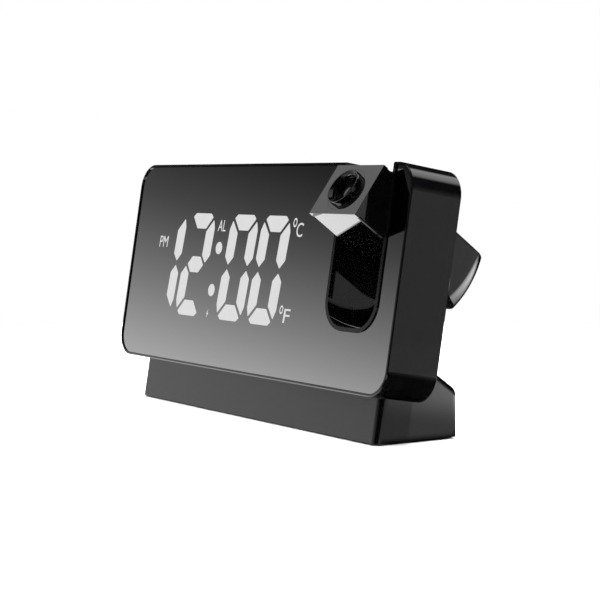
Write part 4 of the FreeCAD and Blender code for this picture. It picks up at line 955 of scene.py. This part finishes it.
@dataclass(frozen=True)
class SoftBox:
    """A square lamp that the gloss doesn't show.

    Attributes:
        name: Its name.
        place: Where it stands, in metres.
        aim: What it points at, in metres.
        size: The length of its sides, in metres.
        power: Its power in watts.
    """

    name: str
    place: tuple[float, float, float]
    aim: tuple[float, float, float]
    size: float
    power: float

    def build(self) -> None:
        """Hangs the lamp."""
        data = bpy.data.lights.new(self.name, "AREA")
        data.shape = "SQUARE"
        data.size = self.size
        data.energy = self.power
        lamp = bpy.data.objects.new(self.name, data)
        lamp.location = self.place
        towards = Vector(self.aim) - Vector(self.place)
        lamp.rotation_euler = towards.to_track_quat("-Z", "Y").to_euler()
        lamp.visible_camera = False
        lamp.visible_glossy = False
        bpy.context.scene.collection.objects.link(lamp)


@dataclass
class Studio:
    """Pale floor, walls that fade with height, and soft lights that the gloss picks up.

    Attributes:
        floor_size: The floor's diameter, in metres.
        floor_steps: How many steps its rim has.
        floor_tones: Its darkest and lightest grey, linear.
        speck_scale: How fine its specks are, per metre.
        fade_span: The elevation in degrees, up and down, over which the walls' stops are spread.
        sheen: How bright the floor to the right is to the gloss at a flat angle.
        sheen_side: The X where this sheen starts and the X where it is full, in metres.
        sheen_start: The X from which and to which its lowest facing value rises, in metres.
        sheen_facing: That value at either end.
        sheen_rise: The facing value over which it grows to full.
        soft: Half the facing value over which a patch fades at its steepest and flattest angle.
        front_wall: The wall to the front left, which the mirror shows the photograph's camera.
        side_wall: The wall to the right and behind, which the right sides show it.
        blobs: Soft lights on the walls.
        patches: Soft lights on the floor.
        boxes: The lamps.
    """

    floor_size: float = 0.9
    floor_steps: int = 96
    floor_tones: tuple[float, float] = (0.93, 0.96)
    speck_scale: float = 90.0
    fade_span: float = 20.0
    sheen: float = 0.62
    sheen_side: tuple[float, float] = (0.084, 0.1)
    sheen_start: tuple[float, float] = (0.12, 0.19)
    sheen_facing: tuple[float, float] = (0.66, 0.78)
    sheen_rise: float = 0.08
    soft: float = 0.03
    front_wall: Sweep = Sweep(Blob((-0.83, -0.54, 0.0), 40.0, 75.0, 1.0), (
        (-1.0, 0.55), (0.5, 1.05), (2.0, 1.2), (3.1, 1.17), (4.3, 0.85), (5.1, 0.66),
        (5.9, 0.50), (6.7, 0.373), (7.5, 0.26), (8.3, 0.176), (9.2, 0.119), (9.8, 0.087),
        (10.4, 0.06), (12.0, 0.02), (16.0, 0.0),
    ))
    side_wall: Sweep = Sweep(Blob((0.83, 0.55, 0.0), 25.0, 50.0, 1.0), (
        (-1.0, 0.56), (1.0, 0.56), (3.8, 0.47), (7.1, 0.27), (10.5, 0.11), (13.5, 0.035),
        (16.0, 0.0),
    ))
    blobs: tuple[Blob, ...] = (
        Blob((-0.83, -0.235, 0.50), 9.0, 16.0, 0.95),
        Blob((0.05, 0.708, 0.70), 7.0, 21.5, 2.4),
        Blob((0.0, 0.0, 1.0), 12.0, 30.0, 0.9),
    )
    patches: tuple[Patch, ...] = (
        Patch((0.15, 0.22), (0.15, 0.20), 0.1, 4.8),
        Patch((-0.03, -0.035), (0.19, 0.028), 0.6, 1.8),
        Patch((-0.12, -0.13), (0.17, 0.10), 0.75, 7.5, (22.0, 42.0)),
        Patch((-0.045, 0.085), (0.10, 0.07), 0.3, 0.5),
        Patch((0.0, -0.45), (1.2, 0.42), 0.9, 0.55, (0.0, 18.0)),
    )
    boxes: tuple[SoftBox, ...] = (
        SoftBox("top_box", (0.1, -0.2, 1.2), (0.0, 0.0, 0.0), 1.6, 60.0),
        SoftBox("back_box", (-0.35, 1.0, 0.7), (0.0, 0.0, 0.05), 1.0, 30.0),
    )

    def walls(self) -> None:
        """Builds the world: white to the camera, the studio's walls to everything else."""
        world = bpy.data.worlds.new("studio_walls")
        bpy.context.scene.world = world
        world.use_nodes = True
        tree = world.node_tree
        tree.nodes.clear()
        direction = add_node(tree, "TexCoord").outputs["Generated"]
        parts = add_node(tree, "SeparateXYZ", Vector=direction)
        angle = add_node(tree, "Math", operation="ARCSINE", _0=parts.outputs["Z"]).outputs[0]
        span = math.radians(self.fade_span)
        height = add_node(
            tree, "MapRange", Value=angle, From_Min=-span, From_Max=span, To_Min=0.0, To_Max=1.0,
        ).outputs["Result"]
        total = self.mask(tree, direction, self.blobs[0])
        for blob in self.blobs[1:]:
            patch = self.mask(tree, direction, blob)
            total = add_node(tree, "Math", operation="ADD", _0=total, _1=patch).outputs[0]
        for wall in (self.front_wall, self.side_wall):
            fade = ramp(tree, height, [
                (0.5 + degrees / (2 * self.fade_span), grey(level)) for degrees, level in wall.stops
            ])
            near = self.mask(tree, direction, wall.middle)
            total = add_node(
                tree, "Math", operation="MULTIPLY_ADD", _0=fade, _1=near, _2=total,
            ).outputs[0]
        seen = add_node(tree, "LightPath").outputs["Is Camera Ray"]
        colour = add_node(tree, "MixRGB", Fac=seen, Color1=total, Color2=grey(1.0)).outputs[0]
        wall = add_node(tree, "Background", Color=colour, Strength=1.0)
        add_node(tree, "OutputWorld", Surface=wall.outputs[0])

    def mask(self, tree: bpy.types.NodeTree, direction: bpy.types.NodeSocket,
             blob: Blob) -> bpy.types.NodeSocket:
        """How strongly a patch lights a direction.

        Args:
            tree: The world's node tree.
            direction: The direction that is asked for.
            blob: The patch.

        Returns:
            A value from 0 to the patch's level.
        """
        towards = Vector(blob.towards).normalized()
        near = add_node(tree, "VectorMath", operation="DOT_PRODUCT", _0=direction, _1=towards)
        gone, full = (math.cos(math.radians(angle)) for angle in (blob.outer, blob.inner))
        return add_node(
            tree, "MapRange", interpolation_type="SMOOTHSTEP", Value=near.outputs["Value"],
            From_Min=gone, From_Max=full, To_Min=0.0, To_Max=blob.level,
        ).outputs["Result"]

    def floor(self) -> None:
        """Builds the pale floor."""
        shape = bmesh.new()
        radius = self.floor_size / 2
        bmesh.ops.create_circle(shape, cap_ends=True, radius=radius, segments=self.floor_steps)
        mesh = bpy.data.meshes.new("floor")
        shape.to_mesh(mesh)
        shape.free()
        floor = bpy.data.objects.new("floor", mesh)
        bpy.context.scene.collection.objects.link(floor)
        pale = bpy.data.materials.new("pale floor paint")
        pale.use_nodes = True
        tree = pale.node_tree
        tree.nodes.clear()
        place = add_node(tree, "TexCoord").outputs["Object"]
        speck = add_node(tree, "TexNoise", Vector=place, Scale=self.speck_scale, Detail=4.0)
        dark, light = (grey(level) for level in self.floor_tones)
        colour = ramp(tree, speck.outputs["Fac"], [(NOISE_LOW, dark), (NOISE_HIGH, light)])
        matt = add_node(tree, "BsdfDiffuse", Color=colour)
        far = add_node(tree, "Emission", Color=grey(1.0), Strength=self.floor_glow(tree, place))
        glossy = add_node(tree, "LightPath").outputs["Is Glossy Ray"]
        mixed = add_node(tree, "MixShader", Fac=glossy, _1=matt.outputs[0], _2=far.outputs[0])
        add_node(tree, "OutputMaterial", Surface=mixed.outputs[0])
        mesh.materials.append(pale)

    def floor_glow(self, tree: bpy.types.NodeTree,
                   place: bpy.types.NodeSocket) -> bpy.types.NodeSocket:
        """How bright the floor is to the gloss: a sheen seen at a flat angle, and soft patches.

        Args:
            tree: The floor's node tree.
            place: The place on the floor.

        Returns:
            The brightness.
        """
        parts = add_node(tree, "SeparateXYZ", Vector=place)
        start = add_node(
            tree, "MapRange", Value=parts.outputs["X"], From_Min=self.sheen_start[0],
            From_Max=self.sheen_start[1], To_Min=self.sheen_facing[0], To_Max=self.sheen_facing[1],
        ).outputs["Result"]
        full = add_node(tree, "Math", operation="ADD", _0=start, _1=self.sheen_rise).outputs[0]
        # with a blend of 0.5, facing is 1 less the sine of the angle to the floor
        facing = add_node(tree, "LayerWeight", Blend=0.5).outputs["Facing"]
        flat = add_node(
            tree, "MapRange", interpolation_type="SMOOTHSTEP", Value=facing,
            From_Min=start, From_Max=full, To_Min=0.0, To_Max=self.sheen,
        ).outputs["Result"]
        side = add_node(
            tree, "MapRange", interpolation_type="SMOOTHSTEP", Value=parts.outputs["X"],
            From_Min=self.sheen_side[0], From_Max=self.sheen_side[1], To_Min=0.0, To_Max=1.0,
        ).outputs["Result"]
        total = add_node(tree, "Math", operation="MULTIPLY", _0=flat, _1=side).outputs[0]
        for patch in self.patches:
            spot = add_node(
                tree, "Mapping", vector_type="TEXTURE", Vector=place,
                Location=(*patch.middle, 0.0), Scale=(*patch.reach, 1.0),
            )
            far_out = add_node(tree, "VectorMath", operation="LENGTH", _0=spot.outputs[0])
            glow = add_node(
                tree, "MapRange", interpolation_type="SMOOTHSTEP", Value=far_out.outputs["Value"],
                From_Min=1.0, From_Max=patch.core, To_Min=0.0, To_Max=patch.level,
            ).outputs["Result"]
            for edge, inward in zip(patch.facing(), (1.0, -1.0)):
                seen = add_node(
                    tree, "MapRange", Value=facing, From_Min=edge - inward * self.soft,
                    From_Max=edge + inward * self.soft, To_Min=0.0, To_Max=1.0,
                ).outputs["Result"]
                glow = add_node(tree, "Math", operation="MULTIPLY", _0=glow, _1=seen).outputs[0]
            total = add_node(tree, "Math", operation="ADD", _0=total, _1=glow).outputs[0]
        return total

    def build(self) -> None:
        """Builds walls, floor and lamps."""
        self.walls()
        self.floor()
        for box in self.boxes:
            box.build()


@dataclass
class PhotoCamera:
    """The camera that was fitted to the photograph.

    Attributes:
        place: Where it stands, in metres.
        turn: How it is turned about X, Y and Z, in degrees.
        focal_pixels: Its focal length in the photograph's pixels.
        frame_pixels: The photograph's width in pixels.
        sensor: The width of the sensor that it is given, in millimetres.
        clip: The nearest and farthest distance that it shows, in metres.
    """

    place: tuple[float, float, float] = (0.557114, -0.364277, 0.090128)
    turn: tuple[float, float, float] = (86.061, -0.091, 56.601)
    focal_pixels: float = 1736.36
    frame_pixels: float = 600.0
    sensor: float = 36.0
    clip: tuple[float, float] = (0.01, 20.0)

    def build(self) -> None:
        """Makes the camera the scene's own."""
        data = bpy.data.cameras.new("photo_camera")
        data.sensor_width = self.sensor
        data.lens = self.focal_pixels / self.frame_pixels * self.sensor
        data.clip_start, data.clip_end = self.clip
        camera = bpy.data.objects.new("photo_camera", data)
        camera.location = self.place
        camera.rotation_euler = [math.radians(angle) for angle in self.turn]
        bpy.context.scene.collection.objects.link(camera)
        bpy.context.scene.camera = camera


SIGNS: tuple[Sign, ...] = (
    Sign("sign_afternoon", "PM", (-69.3, 48.2), 4.5, 6.7),
    Sign("sign_alarm", "AL", (-24.6, 55.7), 4.4, 5.8),
    Sign("sign_celsius", "C", (30.3, 55.4), 5.2, 4.2, (-3.8, 2.6, 1.5)),
    Sign("sign_fahrenheit", "F", (29.2, 23.7), 5.2, 4.0, (-4.1, 2.1, 1.4)),
)


def main() -> None:
    """Builds the studio, the pieces and the finishes."""
    bpy.context.scene.view_settings.view_transform = "Standard"
    PhotoCamera().build()
    Studio().build()
    dress_nodes()
    LitDisplay().build_time()
    for sign in SIGNS:
        sign.build()
    ChargeMark().build()
    FocusRing().build()
    Fasteners().build()
    KeyMarks().build()
    SocketContacts().build()


if __name__ == "__main__":
    main()
